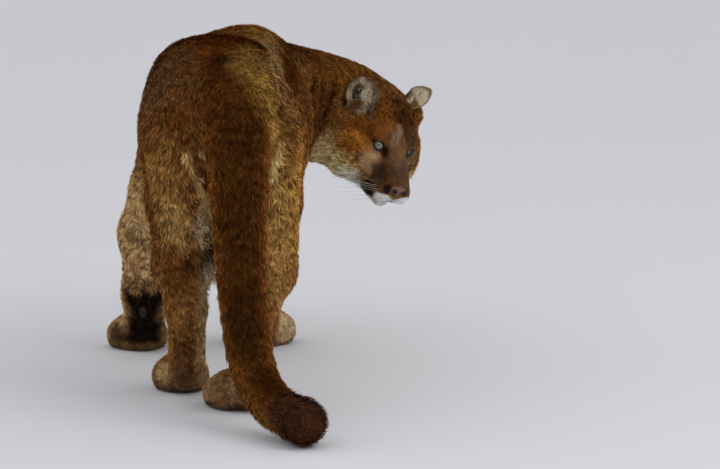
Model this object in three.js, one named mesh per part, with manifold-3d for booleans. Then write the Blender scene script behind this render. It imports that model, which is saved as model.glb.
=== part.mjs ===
// A life-size cougar that stands in a slow walking stance and looks back past its right side.
// Units are millimetres. X points to the animal's left, Y to its tail and Z up, with the soles at Z = 0.
import * as THREE from "three";
import Module from "manifold-3d";

const wasm = await Module();
wasm.setup();

// Driving dimensions
const CUT_GAP = 0.3; // free space at each parting cut
const SOLE = 0; // level of the four soles
const TRUNK_CELL = 46; // facet size on the trunk
const NECK_CELL = 38; // facet size on the neck
const THIGH_CELL = 36; // facet size on thighs and upper arms
const SHANK_CELL = 30; // facet size on shanks and forearms
const PAW_CELL = 24; // facet size on the paws
const HEAD_CELL = 20.5; // facet size on the head
const TAIL_CELL = 30; // facet size on the tail
const EYE_RADIUS = 14.5;
const EYE_DEPTH = -12; // the eye centres forward of the head's origin
const EYE_APART = 70; // centre to centre, before HEAD_SCALE
const EAR_HEIGHT = 74;
const EAR_HALF_WIDTH = 37;
const EAR_THICKNESS = 6;
const EAR_CLEARANCE = 1.2; // free space between an ear's root and the head's facets
const PAW_HEIGHT = 49; // half height of a paw's egg
const TOE_LEVEL = 24; // height of the toe eggs' centres
const TOE_HALF = [17, 27, 24]; // half sizes of a toe egg: across, along, up
const KNEE_LEVEL = { hind: 300, fore: 262 }; // where the thigh or upper arm is cut off
const ANKLE_LEVEL = { hind: 158, fore: 128 }; // where the foot is cut off

// Fillets between the masses of the body
const FILLET = { withers: 40, neck: 70, head: 30, fore: 50, hindLeft: 45, hindRight: 30, tail: 34 };
const BUTTOCK_FILLET = 45;
const HEAD_FILLET = 16; // between the masses of the head
const ORBIT_FILLET = 8; // round the rim of the eye hollows

// Trunk stations from the chest to the rump: place along Y, the right and left side, the belly and the back
const TRUNK = [
  { y: -385, right: -150, left: 20, under: 395, back: 592 },
  { y: -300, right: -196, left: 66, under: 350, back: 646 },
  { y: -215, right: -216, left: 84, under: 330, back: 654 },
  { y: -110, right: -218, left: 88, under: 334, back: 650 },
  { y: 0, right: -194, left: 94, under: 352, back: 660 },
  { y: 110, right: -166, left: 106, under: 372, back: 676 },
  { y: 220, right: -160, left: 112, under: 392, back: 690 },
  { y: 310, right: -148, left: 82, under: 420, back: 664 },
  { y: 385, right: -116, left: 22, under: 470, back: 606 },
];
const TRUNK_END = 55; // how far the rounded ends reach past the last stations
const RUMP_SQUARENESS = 0.55; // how much squarer than an ellipse the section of the rump is

// The crest of the shoulder blades over the chest
const WITHERS = { at: [-104, -262, 612], half: [44, 100, 48] };

// Neck and tail: centres and radii along the way
const NECK = [
  { at: [-62, -290, 498], r: 128 },
  { at: [-112, -372, 495], r: 111 },
  { at: [-178, -430, 488], r: 100 },
  { at: [-262, -482, 468], r: 97 },
  { at: [-345, -504, 437], r: 89 },
];
const TAIL = [
  { at: [-52, 350, 590], r: 68 },
  { at: [-56, 412, 545], r: 64 },
  { at: [-59, 462, 470], r: 55 },
  { at: [-60, 497, 375], r: 48 },
  { at: [-62, 523, 270], r: 43 },
  { at: [-70, 560, 172], r: 40 },
  { at: [-86, 615, 98], r: 39 },
  { at: [-119, 682, 57], r: 38 },
  { at: [-162, 748, 45], r: 39 },
  { at: [-164, 770, 44], r: 37 },
];

// Legs: joint centres and radii, then the paw's centre and the way its toes point (degrees left of forward)
const LEGS = {
  fore_left: {
    top: { at: [34, -300, 455], r: 86 },
    bend: { at: [80, -218, 335], r: 60 },
    shank: { at: [108, -226, 250], r: 55 },
    ankle: { at: [114, -246, 125], r: 43 },
    heel: { at: [116, -278, 40], r: 42 },
    paw: { at: [129, -322, 24], half: [62, 62], toes: 16 },
  },
  fore_right: {
    top: { at: [-150, -310, 455], r: 88 },
    bend: { at: [-140, -240, 335], r: 60 },
    shank: { at: [-122, -250, 250], r: 54 },
    ankle: { at: [-122, -276, 125], r: 43 },
    heel: { at: [-122, -312, 40], r: 42 },
    paw: { at: [-135, -356, 24], half: [62, 62], toes: -14 },
  },
  hind_left: {
    top: { at: [30, 245, 510], r: 90 },
    bend: { at: [40, 165, 370], r: 68 },
    shank: { at: [43, 265, 255], r: 53 },
    ankle: { at: [36, 305, 180], r: 35 },
    heel: { at: [35, 238, 46], r: 36 },
    paw: { at: [45, 172, 24], half: [54, 60], toes: 12 },
  },
  hind_right: {
    top: { at: [-106, 250, 510], r: 90 },
    bend: { at: [-122, 205, 370], r: 62 },
    shank: { at: [-118, 345, 255], r: 50 },
    ankle: { at: [-92, 445, 185], r: 35 },
    heel: { at: [-82, 428, 48], r: 36 },
    paw: { at: [-52, 368, 24], half: [53, 60], toes: 22 },
  },
};

// Muscle masses of the hind legs that the joint chain doesn't give: centre and half sizes
const BUTTOCK_LEFT = { at: [36, 305, 450], half: [68, 82, 122] };
const BUTTOCK_RIGHT = { at: [-112, 328, 450], half: [66, 78, 122] };

// The head's own frame: its origin lies midway between the eyes
const HEAD_AT = [-407, -380, 400];
const HEAD_YAW = 15; // degrees, from facing the tail towards the animal's own right
const HEAD_PITCH = 33; // degrees, nose down
const HEAD_ROLL = 15; // degrees, right side up
const HEAD_SCALE = 1.05; // a big male's head against the sizes that the head's pieces state

// Ears in the head's frame: the root, the tip, and a point that the opening faces
const EARS = {
  right: { root: [77, -55, 39], tip: [84, -103, 87], open: [105, -1, 65] },
  left: { root: [-46, -100, 34], tip: [-102, -146, 45], open: [-64, -46, 52] },
};

const COLOURS = {
  coat: 0x7a4a22,
  pale: 0xa88a62,
  dark: 0x3a2112,
  eye: 0x8c9a90,
};

// Small vector helpers on [x, y, z] arrays
const plus = (a, b, k = 1) => [a[0] + b[0] * k, a[1] + b[1] * k, a[2] + b[2] * k];
const dot = (a, b) => a[0] * b[0] + a[1] * b[1] + a[2] * b[2];
const cross = (a, b) => [
  a[1] * b[2] - a[2] * b[1],
  a[2] * b[0] - a[0] * b[2],
  a[0] * b[1] - a[1] * b[0],
];
const unit = (a) => {
  const length = Math.hypot(...a);
  return a.map((v) => v / length);
};
const radians = THREE.MathUtils.degToRad;

// Right, forward and up of the head as world directions
function headFrame() {
  const yaw = radians(HEAD_YAW);
  const pitch = radians(HEAD_PITCH);
  const roll = radians(HEAD_ROLL);
  const forward = [
    -Math.sin(yaw) * Math.cos(pitch),
    Math.cos(yaw) * Math.cos(pitch),
    -Math.sin(pitch),
  ];
  const level = unit(cross(forward, [0, 0, 1]));
  const over = cross(level, forward);
  const right = plus(level.map((v) => v * Math.cos(roll)), over, Math.sin(roll));
  const up = plus(over.map((v) => v * Math.cos(roll)), level, -Math.sin(roll));
  return { right, forward, up };
}
const HEAD = headFrame();

// A point given in the head's frame: to the right, forward, up
function onHead(r, f, u) {
  const [a, b, c] = [r, f, u].map((v) => v * HEAD_SCALE);
  return plus(plus(plus(HEAD_AT, HEAD.right, a), HEAD.forward, b), HEAD.up, c);
}

// Distance fields: each is a function of x, y, z that is negative inside

// Union of two fields with a fillet of about the size k
function blend(a, b, k) {
  const h = Math.max(k - Math.abs(a - b), 0) / k;
  return Math.min(a, b) - (h * h * k) / 4;
}

// A round bar from a to b whose radius runs from ra to rb
function bar(a, ra, b, rb) {
  const ab = plus(b, a, -1);
  const length2 = dot(ab, ab);
  return (x, y, z) => {
    const px = x - a[0];
    const py = y - a[1];
    const pz = z - a[2];
    const raw = (px * ab[0] + py * ab[1] + pz * ab[2]) / length2;
    const t = Math.min(Math.max(raw, 0), 1);
    const away = Math.hypot(px - ab[0] * t, py - ab[1] * t, pz - ab[2] * t);
    return away - (ra + (rb - ra) * t);
  };
}

// An egg with its half sizes along the three given axes
function egg(at, half, axes = [[1, 0, 0], [0, 1, 0], [0, 0, 1]]) {
  return (x, y, z) => {
    const p = [x - at[0], y - at[1], z - at[2]];
    const q = axes.map((axis, i) => dot(p, axis) / half[i]);
    const k0 = Math.hypot(...q);
    const k1 = Math.hypot(q[0] / half[0], q[1] / half[1], q[2] / half[2]);
    return k1 < 1e-9 ? -Math.min(...half) : (k0 * (k0 - 1)) / k1;
  };
}

// An egg and a bar in the head's frame
function headEgg(r, f, u, half) {
  const grown = half.map((v) => v * HEAD_SCALE);
  return egg(onHead(r, f, u), grown, [HEAD.right, HEAD.forward, HEAD.up]);
}
const headBar = (a, ra, b, rb) =>
  bar(onHead(...a), ra * HEAD_SCALE, onHead(...b), rb * HEAD_SCALE);

// Bars through a row of stations
function chain(stations) {
  return stations
    .slice(1)
    .map((s, i) => bar(stations[i].at, stations[i].r, s.at, s.r));
}

// Many fields blended in turn
function joined(fields, k) {
  return (x, y, z) => fields.reduce((d, f) => blend(d, f(x, y, z), k), 1e6);
}

// A value of the trunk stations at a place along Y, on a smooth curve through them
function trunkValue(y, key) {
  const last = TRUNK.length - 1;
  const at = Math.min(Math.max(y, TRUNK[0].y), TRUNK[last].y);
  let i = 0;
  while (i < last - 1 && TRUNK[i + 1].y < at) i += 1;
  const near = (n) => TRUNK[Math.min(Math.max(n, 0), last)];
  const [p0, p1, p2, p3] = [near(i - 1), near(i), near(i + 1), near(i + 2)];
  const span = p2.y - p1.y;
  const t = (at - p1.y) / span;
  const slope1 = ((p2[key] - p0[key]) / (p2.y - p0.y)) * span;
  const slope2 = ((p3[key] - p1[key]) / (p3.y - p1.y)) * span;
  const t2 = t * t;
  const t3 = t2 * t;
  return (
    (2 * t3 - 3 * t2 + 1) * p1[key] +
    (t3 - 2 * t2 + t) * slope1 +
    (3 * t2 - 2 * t3) * p2[key] +
    (t3 - t2) * slope2
  );
}

// The trunk: an oval section that changes along Y, with rounded ends
function trunk(x, y, z) {
  const first = TRUNK[0].y;
  const last = TRUNK[TRUNK.length - 1].y;
  const right = trunkValue(y, "right");
  const left = trunkValue(y, "left");
  const under = trunkValue(y, "under");
  const back = trunkValue(y, "back");
  const halfWidth = (left - right) / 2;
  const halfHeight = (back - under) / 2;
  const across = (x - (left + right) / 2) / halfWidth;
  const rise = (z - (back + under) / 2) / halfHeight;
  const past = Math.max(first - y, y - last, 0) / TRUNK_END;
  const power = 2 + RUMP_SQUARENESS * THREE.MathUtils.smoothstep(y, -150, 200);
  const section = (Math.abs(across) ** power + Math.abs(rise) ** power) ** (1 / power);
  const round = Math.hypot(section, past);
  return (round - 1) * Math.min(halfWidth, halfHeight, past > 0 ? 90 : 400);
}

// One leg down to the sole: joint chain, paw egg and four toe eggs
function leg(spec) {
  const { top, bend, shank, ankle, heel, paw } = spec;
  const turn = radians(paw.toes);
  const along = [Math.sin(turn), -Math.cos(turn), 0];
  const across = [Math.cos(turn), Math.sin(turn), 0];
  const axes = [across, along, [0, 0, 1]];
  const [wide, long] = paw.half;
  const place = (a, b, z) => plus(plus([paw.at[0], paw.at[1], z], across, a), along, b);
  const toes = [-0.62, -0.22, 0.22, 0.62].map((side, i) => {
    const reach = i === 0 || i === 3 ? 0.42 : 0.66;
    return egg(place(side * wide, reach * long, TOE_LEVEL), TOE_HALF, axes);
  });
  const limb = joined(
    [
      bar(top.at, top.r, bend.at, bend.r),
      bar(bend.at, bend.r, shank.at, shank.r),
      bar(shank.at, shank.r, ankle.at, ankle.r),
      bar(ankle.at, ankle.r, heel.at, heel.r),
    ],
    26,
  );
  const body = egg(place(0, 0, paw.at[2]), [wide, long, PAW_HEIGHT], axes);
  const foot = joined([body, ...toes], 12);
  return (x, y, z) => blend(limb(x, y, z), foot(x, y, z), 20);
}

// The skull, cheeks, muzzle and jaw, with a hollow round each eye
function headMass() {
  const pairs = [1, -1].flatMap((s) => [
    headEgg(52 * s, -64, -66, [42, 58, 60]),
    headEgg(31 * s, -18, 14, [23, 22, 14]),
    headEgg(18 * s, 52, -66, [22, 27, 22]),
    headEgg(54 * s, -98, 22, [26, 26, 24]),
    headBar([43 * s, -24, -28], 20, [60 * s, -68, -32], 26),
  ]);
  const mass = joined(
    [
      headEgg(0, -88, -4, [72, 80, 62]),
      headEgg(0, -36, 5, [48, 42, 34]),
      headEgg(0, -16, -48, [50, 48, 42]),
      headEgg(0, 38, -48, [36, 44, 32]),
      headBar([0, -8, -4], 25, [0, 62, -38], 19),
      headEgg(0, 72, -45, [17, 15, 13]),
      headBar([0, 36, -97], 19, [0, -30, -104], 38),
      headEgg(0, -84, -104, [62, 60, 54]),
      ...pairs,
    ],
    HEAD_FILLET,
  );
  const orbits = [1, -1].map((s) => headEgg((EYE_APART / 2 + 3) * s, 6, -3, [15, 15, 12]));
  return (x, y, z) => {
    const hollow = Math.min(...orbits.map((f) => f(x, y, z)));
    return -blend(-mass(x, y, z), hollow, ORBIT_FILLET);
  };
}

const headField = headMass();
const neckField = joined(chain(NECK), 45);
const withers = egg(WITHERS.at, WITHERS.half);
const tailField = joined(chain(TAIL), 24);
const tailRoot = joined(chain(TAIL.slice(0, 4)), 24);
const legFields = Object.fromEntries(
  Object.entries(LEGS).map(([name, spec]) => [name, leg(spec)]),
);
const buttocks = [
  egg(BUTTOCK_LEFT.at, BUTTOCK_LEFT.half),
  egg(BUTTOCK_RIGHT.at, BUTTOCK_RIGHT.half),
];

// Each leg with the muscle masses that belong to it
const limbFields = {
  fore_left: legFields.fore_left,
  fore_right: legFields.fore_right,
  hind_left: (x, y, z) =>
    blend(legFields.hind_left(x, y, z), buttocks[0](x, y, z), BUTTOCK_FILLET),
  hind_right: (x, y, z) =>
    blend(legFields.hind_right(x, y, z), buttocks[1](x, y, z), BUTTOCK_FILLET),
};

// The whole body without the tail below its root
function flesh(x, y, z) {
  let d = blend(trunk(x, y, z), withers(x, y, z), FILLET.withers);
  d = blend(d, neckField(x, y, z), FILLET.neck);
  d = blend(d, headField(x, y, z), FILLET.head);
  d = blend(d, limbFields.fore_left(x, y, z), FILLET.fore);
  d = blend(d, limbFields.fore_right(x, y, z), FILLET.fore);
  d = blend(d, limbFields.hind_left(x, y, z), FILLET.hindLeft);
  return blend(d, limbFields.hind_right(x, y, z), FILLET.hindRight);
}

const rump = (x, y, z) => blend(flesh(x, y, z), tailRoot(x, y, z), FILLET.tail);

// The slope of a field at a point
function slopeOf(field, p) {
  const step = 0.5;
  return [0, 1, 2].map((i) => {
    const ahead = [...p];
    const behind = [...p];
    ahead[i] += step;
    behind[i] -= step;
    return (field(...ahead) - field(...behind)) / (2 * step);
  });
}

// Moves a point onto the surface where the field is level, no further than reach
function settled(field, start, reach, level) {
  let p = start;
  for (let n = 0; n < 4; n += 1) {
    const slope = slopeOf(field, p);
    const steep = dot(slope, slope);
    if (steep < 1e-8) return p;
    const next = plus(p, slope, -(field(...p) - level) / steep);
    if (Math.hypot(...plus(next, start, -1)) > reach) return p;
    p = next;
  }
  return p;
}

// A closed faceted surface of a field inside the box low to high: one point in each cell that
// the surface crosses, and two triangles across each grid edge that changes sign
function surface(field, low, high, cell, level = 0) {
  const size = low.map((v, i) => Math.ceil((high[i] - v) / cell) + 1);
  const [nx, ny, nz] = size;
  const index = (i, j, k) => (k * ny + j) * nx + i;
  const value = new Float64Array(nx * ny * nz).fill(1);
  for (let k = 1; k < nz - 1; k += 1)
    for (let j = 1; j < ny - 1; j += 1)
      for (let i = 1; i < nx - 1; i += 1)
        value[index(i, j, k)] =
          field(low[0] + i * cell, low[1] + j * cell, low[2] + k * cell) - level;
  const corners = [0, 1, 2, 3, 4, 5, 6, 7].map((n) => [n & 1, (n >> 1) & 1, n >> 2]);
  const sides = corners.flatMap((c, a) =>
    [1, 2, 4].filter((bit) => !(a & bit)).map((bit) => [a, a | bit]),
  );
  const points = [];
  const pointOf = new Map();
  for (let k = 0; k < nz - 1; k += 1)
    for (let j = 0; j < ny - 1; j += 1)
      for (let i = 0; i < nx - 1; i += 1) {
        const v = corners.map(([a, b, c]) => value[index(i + a, j + b, k + c)]);
        let sum = [0, 0, 0];
        let count = 0;
        for (const [a, b] of sides) {
          if (v[a] < 0 === v[b] < 0) continue;
          const t = v[a] / (v[a] - v[b]);
          sum = plus(sum, corners[a], 1 - t);
          sum = plus(sum, corners[b], t);
          count += 1;
        }
        if (!count) continue;
        const start = [i, j, k].map((n, q) => low[q] + (n + sum[q] / count) * cell);
        pointOf.set(index(i, j, k), points.length);
        points.push(settled(field, start, cell * 0.45, level));
      }
  const triangles = [];
  const around = [
    [[0, 1, 0], [0, 0, 1]],
    [[0, 0, 1], [1, 0, 0]],
    [[1, 0, 0], [0, 1, 0]],
  ];
  const apart = (a, b) => Math.hypot(...plus(points[a], points[b], -1));
  for (let k = 0; k < nz - 1; k += 1)
    for (let j = 0; j < ny - 1; j += 1)
      for (let i = 0; i < nx - 1; i += 1)
        for (let axis = 0; axis < 3; axis += 1) {
          const end = [i, j, k];
          end[axis] += 1;
          const inside = value[index(i, j, k)] < 0;
          if (inside === value[index(...end)] < 0) continue;
          const [u, w] = around[axis];
          const at = (a, b) =>
            pointOf.get(
              index(i - u[0] * a - w[0] * b, j - u[1] * a - w[1] * b, k - u[2] * a - w[2] * b),
            );
          const quad = [at(0, 0), at(1, 0), at(1, 1), at(0, 1)];
          if (!inside) quad.reverse();
          const [a, b, c, d] = quad;
          if (apart(a, c) < apart(b, d)) triangles.push(a, b, c, a, c, d);
          else triangles.push(a, b, d, b, c, d);
        }
  return solid(points.flat(), triangles);
}

// Points and triangles as a solid for joins and cuts
function solid(coordinates, triangles) {
  return new wasm.Manifold(
    new wasm.Mesh({
      numProp: 3,
      vertProperties: new Float32Array(coordinates),
      triVerts: new Uint32Array(triangles),
    }),
  );
}

// A three.js geometry, placed by a matrix and with its seams merged, as a solid
function solidOf(geometry, matrix) {
  const position = geometry.getAttribute("position");
  const keys = new Map();
  const coordinates = [];
  const remap = [];
  const v = new THREE.Vector3();
  for (let n = 0; n < position.count; n += 1) {
    v.fromBufferAttribute(position, n);
    v.applyMatrix4(matrix);
    const key = v.toArray().map((c) => c.toFixed(3)).join();
    if (!keys.has(key)) {
      keys.set(key, keys.size);
      coordinates.push(v.x, v.y, v.z);
    }
    remap.push(keys.get(key));
  }
  const triangles = [];
  for (let n = 0; n < geometry.index.count; n += 3) {
    const [a, b, c] = [0, 1, 2].map((q) => remap[geometry.index.getX(n + q)]);
    if (a !== b && b !== c && a !== c) triangles.push(a, b, c);
  }
  return solid(coordinates, triangles);
}

// A block with its centre, its full sizes and its three axes
function block(at, size, axes = [[1, 0, 0], [0, 1, 0], [0, 0, 1]]) {
  const matrix = new THREE.Matrix4().makeBasis(...axes.map((a) => new THREE.Vector3(...a)));
  matrix.setPosition(...at);
  return solidOf(new THREE.BoxGeometry(...size), matrix);
}

// All that lies on one side of a cut, with half of the gap kept free
function beyond(cut, sign) {
  const reach = 3000;
  const normal = unit(cut.normal);
  const other = Math.abs(normal[2]) < 0.9 ? [0, 0, 1] : [1, 0, 0];
  const side = unit(cross(other, normal));
  const third = cross(normal, side);
  const middle = plus(cut.at, normal, sign * (CUT_GAP / 2 + reach / 2));
  return block(middle, [reach, reach, reach], [side, third, normal]);
}

const cougar = new THREE.Group();

// Adds a solid to the group as a named mesh
function add(name, made, colour, roughness = 0.9) {
  const mesh = made.getMesh();
  const geometry = new THREE.BufferGeometry();
  const count = mesh.vertProperties.length / mesh.numProp;
  const xyz = new Float32Array(count * 3);
  for (let n = 0; n < count; n += 1)
    xyz.set(mesh.vertProperties.subarray(n * mesh.numProp, n * mesh.numProp + 3), n * 3);
  geometry.setAttribute("position", new THREE.BufferAttribute(xyz, 3));
  geometry.setIndex(new THREE.BufferAttribute(mesh.triVerts, 1));
  const material = new THREE.MeshStandardMaterial({ color: colour, roughness, metalness: 0 });
  const piece = new THREE.Mesh(geometry, material);
  piece.name = name;
  cougar.add(piece);
}

// Keeps the largest of the loose bodies that cuts leave
function largest(made) {
  return made.decompose().reduce((a, b) => (b.volume() > a.volume() ? b : a));
}

// Parting cuts
const FLOOR_CUT = { at: [0, 0, SOLE - CUT_GAP / 2], normal: [0, 0, 1] };
const HEAD_CUT = { at: [-290, -470, 500], normal: [-0.9, 0.1, -0.42] };
const NECK_CUT = { at: [-128, -388, 508], normal: [-0.72, -0.69, 0] };
const CHEST_CUT = { at: [0, -70, 500], normal: [0, 1, 0] };
const HIPS_CUT = { at: [0, 120, 500], normal: [0, 1, 0] };
const TAIL_ROOT_CUT = { at: [-57, 425, 528], normal: [0, 0.58, -0.81] };
const TAIL_CUTS = [
  TAIL_ROOT_CUT,
  { at: [-59, 505, 345], normal: [0, 0.22, -0.98] },
  { at: [-72, 575, 152], normal: [-0.15, 0.55, -0.82] },
  { at: [-122, 680, 65], normal: [-0.5, 0.83, -0.22] },
];

const THIGH_TOP = {
  left: { at: [-37, 0, 366], normal: [0.5, 0, -0.87] },
  right: { at: [-37, 0, 366], normal: [-0.5, 0, -0.87] },
};
const ARM_TOP = {
  left: { at: [30, 0, 372], normal: [0.62, 0, -0.78] },
  right: { at: [-118, 0, 372], normal: [-0.62, 0, -0.78] },
};
const LEG_ROOMS = {
  hind_left: { x: [-37, 260], y: [40, 540], top: THIGH_TOP.left },
  hind_right: { x: [-300, -37], y: [40, 540], top: THIGH_TOP.right },
  fore_left: { x: [-37, 260], y: [-530, -70], top: ARM_TOP.left },
  fore_right: { x: [-236, -37], y: [-530, -70], top: ARM_TOP.right },
};
const floor = beyond(FLOOR_CUT, 1);

// The room of a leg below its top cut, made larger all round by grow
function legRoom({ x, y, top }, grow = 0) {
  const at = [(x[0] + x[1]) / 2, (y[0] + y[1]) / 2, 300];
  const size = [x[1] - x[0] + 2 * grow, y[1] - y[0] + 2 * grow, 900];
  const lifted = { at: plus(top.at, unit(top.normal), -grow), normal: top.normal };
  return block(at, size).intersect(beyond(lifted, 1));
}
const rooms = Object.values(LEG_ROOMS).map((room) => legRoom(room, CUT_GAP));

function buildTrunk() {
  const low = [-300, -480, 250];
  const high = [200, 520, 760];
  const whole = surface(rump, low, high, TRUNK_CELL);
  let body = whole;
  for (const room of rooms) body = body.subtract(room);
  const stub = block(
    plus(TAIL_ROOT_CUT.at, unit(TAIL_ROOT_CUT.normal), 60 - CUT_GAP / 2),
    [190, 170, 120],
    [[1, 0, 0], unit(cross(TAIL_ROOT_CUT.normal, [1, 0, 0])), unit(TAIL_ROOT_CUT.normal)],
  );
  const hips = body.intersect(beyond(HIPS_CUT, 1)).subtract(stub);
  const belly = body.intersect(beyond(HIPS_CUT, -1)).intersect(beyond(CHEST_CUT, 1));
  const chest = body.intersect(beyond(CHEST_CUT, -1)).intersect(beyond(NECK_CUT, -1));
  add("hips", largest(hips), COLOURS.coat);
  add("belly", largest(belly), COLOURS.coat);
  add("chest", largest(chest), COLOURS.coat);
}

function buildNeck() {
  const whole = surface(flesh, [-440, -640, 300], [0, -280, 680], NECK_CELL);
  const neck = whole
    .subtract(legRoom(LEG_ROOMS.fore_right, CUT_GAP))
    .intersect(beyond(NECK_CUT, 1))
    .intersect(beyond(HEAD_CUT, -1));
  add("neck", largest(neck), COLOURS.coat);
}

// One ear: a cupped leaf of even thickness, given by its root, the way to its tip and the way it opens
function ear(root, tipWay, openWay) {
  const rise = unit(tipWay);
  const across = unit(cross(openWay, rise));
  const open = cross(rise, across);
  const rows = 6;
  const columns = 7;
  const halfWidth = (s) =>
    EAR_HALF_WIDTH *
    (s < 0.4 ? 0.8 + 0.5 * s : Math.sqrt(Math.max(1 - ((s - 0.4) / 0.61) ** 2, 0)));
  const point = (i, j, front) => {
    const s = i / (rows - 1);
    const t = (2 * j) / (columns - 1) - 1;
    const half = Math.max(halfWidth(s), 5);
    const curl = (26 - 16 * s) * t * t - 14 * s * s;
    let p = plus(root, rise, EAR_HEIGHT * (1.12 * s - 0.12));
    p = plus(p, across, half * t);
    return plus(p, open, curl + (front ? EAR_THICKNESS / 2 : -EAR_THICKNESS / 2));
  };
  const coordinates = [];
  for (const front of [true, false])
    for (let i = 0; i < rows; i += 1)
      for (let j = 0; j < columns; j += 1) coordinates.push(...point(i, j, front));
  const at = (i, j, front) => (front ? 0 : rows * columns) + i * columns + j;
  const triangles = [];
  const quad = (a, b, c, d) => triangles.push(a, c, b, a, d, c);
  for (let i = 0; i < rows - 1; i += 1)
    for (let j = 0; j < columns - 1; j += 1) {
      quad(at(i, j, true), at(i, j + 1, true), at(i + 1, j + 1, true), at(i + 1, j, true));
      quad(at(i, j, false), at(i + 1, j, false), at(i + 1, j + 1, false), at(i, j + 1, false));
    }
  for (let j = 0; j < columns - 1; j += 1) {
    quad(at(0, j, false), at(0, j + 1, false), at(0, j + 1, true), at(0, j, true));
    const top = rows - 1;
    quad(at(top, j, true), at(top, j + 1, true), at(top, j + 1, false), at(top, j, false));
  }
  for (let i = 0; i < rows - 1; i += 1) {
    quad(at(i, 0, true), at(i + 1, 0, true), at(i + 1, 0, false), at(i, 0, false));
    const side = columns - 1;
    quad(at(i, side, false), at(i + 1, side, false), at(i + 1, side, true), at(i, side, true));
  }
  return solid(coordinates, triangles);
}

function buildHead() {
  const low = [-570, -640, 230];
  const high = [-205, -250, 610];
  const inHead = beyond(HEAD_CUT, 1);
  const armRoom = legRoom(LEG_ROOMS.fore_right, CUT_GAP);
  let head = surface(flesh, low, high, HEAD_CELL).intersect(inHead).subtract(armRoom);
  const skinLevel = surface(flesh, low, high, HEAD_CELL, EAR_CLEARANCE);
  for (const [side, s] of [["right", 1], ["left", -1]]) {
    const at = onHead((EYE_APART / 2) * s, EYE_DEPTH, -3);
    const place = new THREE.Matrix4().setPosition(...at);
    const socket = new THREE.SphereGeometry(EYE_RADIUS + CUT_GAP * 2, 12, 8);
    head = head.subtract(solidOf(socket, place));
    add("eye_" + side, solidOf(new THREE.SphereGeometry(EYE_RADIUS, 12, 8), place), COLOURS.eye, 0.1);
    const { root, tip, open } = EARS[side];
    const from = onHead(...root);
    const way = (to) => plus(onHead(...to), from, -1);
    const leaf = ear(from, way(tip), way(open)).subtract(skinLevel).intersect(inHead);
    add("ear_" + side, largest(leaf), COLOURS.pale);
  }
  add("head", largest(head), COLOURS.coat);
}

// Each leg in three lengths: thigh or upper arm, shank or forearm, and foot
function buildLegs() {
  for (const [name, spec] of Object.entries(LEGS)) {
    const hind = name.startsWith("hind");
    const own = limbFields[name];
    const [x, y] = spec.shank.at;
    const end = hind ? "hind" : "fore";
    const kneeCut = { at: [0, 0, KNEE_LEVEL[end]], normal: [0, 0, 1] };
    const ankleCut = { at: [0, 0, ANKLE_LEVEL[end]], normal: [0, 0, 1] };
    const upperLow = [x - 150, hind ? 30 : -460, 200];
    const upperHigh = [x + 150, hind ? 480 : -90, hind ? 600 : 540];
    const upper = surface(flesh, upperLow, upperHigh, THIGH_CELL)
      .intersect(legRoom(LEG_ROOMS[name], -CUT_GAP / 2))
      .intersect(beyond(kneeCut, 1));
    const lower = surface(own, [x - 120, y - 170, 70], [x + 120, y + 230, 350], SHANK_CELL)
      .intersect(beyond(kneeCut, -1))
      .intersect(beyond(ankleCut, 1));
    const [px, py] = spec.paw.at;
    const paw = surface(own, [px - 110, py - 110, -60], [px + 110, py + 220, 215], PAW_CELL)
      .intersect(beyond(ankleCut, -1))
      .intersect(floor);
    const words = hind ? ["thigh", "shank", "paw"] : ["upper_arm", "forearm", "paw"];
    add(name + "_" + words[0], largest(upper), COLOURS.coat);
    add(name + "_" + words[1], largest(lower), COLOURS.pale);
    add(name + "_" + words[2], largest(paw), COLOURS.dark);
  }
}

function buildTail() {
  const words = ["base", "middle", "lower", "tip"];
  const whole = surface(tailField, [-300, 260, -60], [80, 860, 720], TAIL_CELL);
  words.forEach((word, i) => {
    let length = whole.intersect(beyond(TAIL_CUTS[i], 1));
    if (i + 1 < TAIL_CUTS.length) length = length.intersect(beyond(TAIL_CUTS[i + 1], -1));
    add("tail_" + word, largest(length), i === 3 ? COLOURS.dark : COLOURS.coat);
  });
}

buildTrunk();
buildNeck();
buildHead();
buildLegs();
buildTail();

// The origin lies on the ground under the middle of the whole body
const bounds = new THREE.Box3().setFromObject(cougar);
const middle = bounds.getCenter(new THREE.Vector3());
cougar.position.set(-middle.x, -middle.y, -bounds.min.z);

export default cougar;
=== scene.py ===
"""A life-size still model of a cougar that looks back past its right side, dressed in its coat."""

import logging
import math
from dataclasses import dataclass, field
from enum import Enum
from typing import Any, Callable, Sequence

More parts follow.
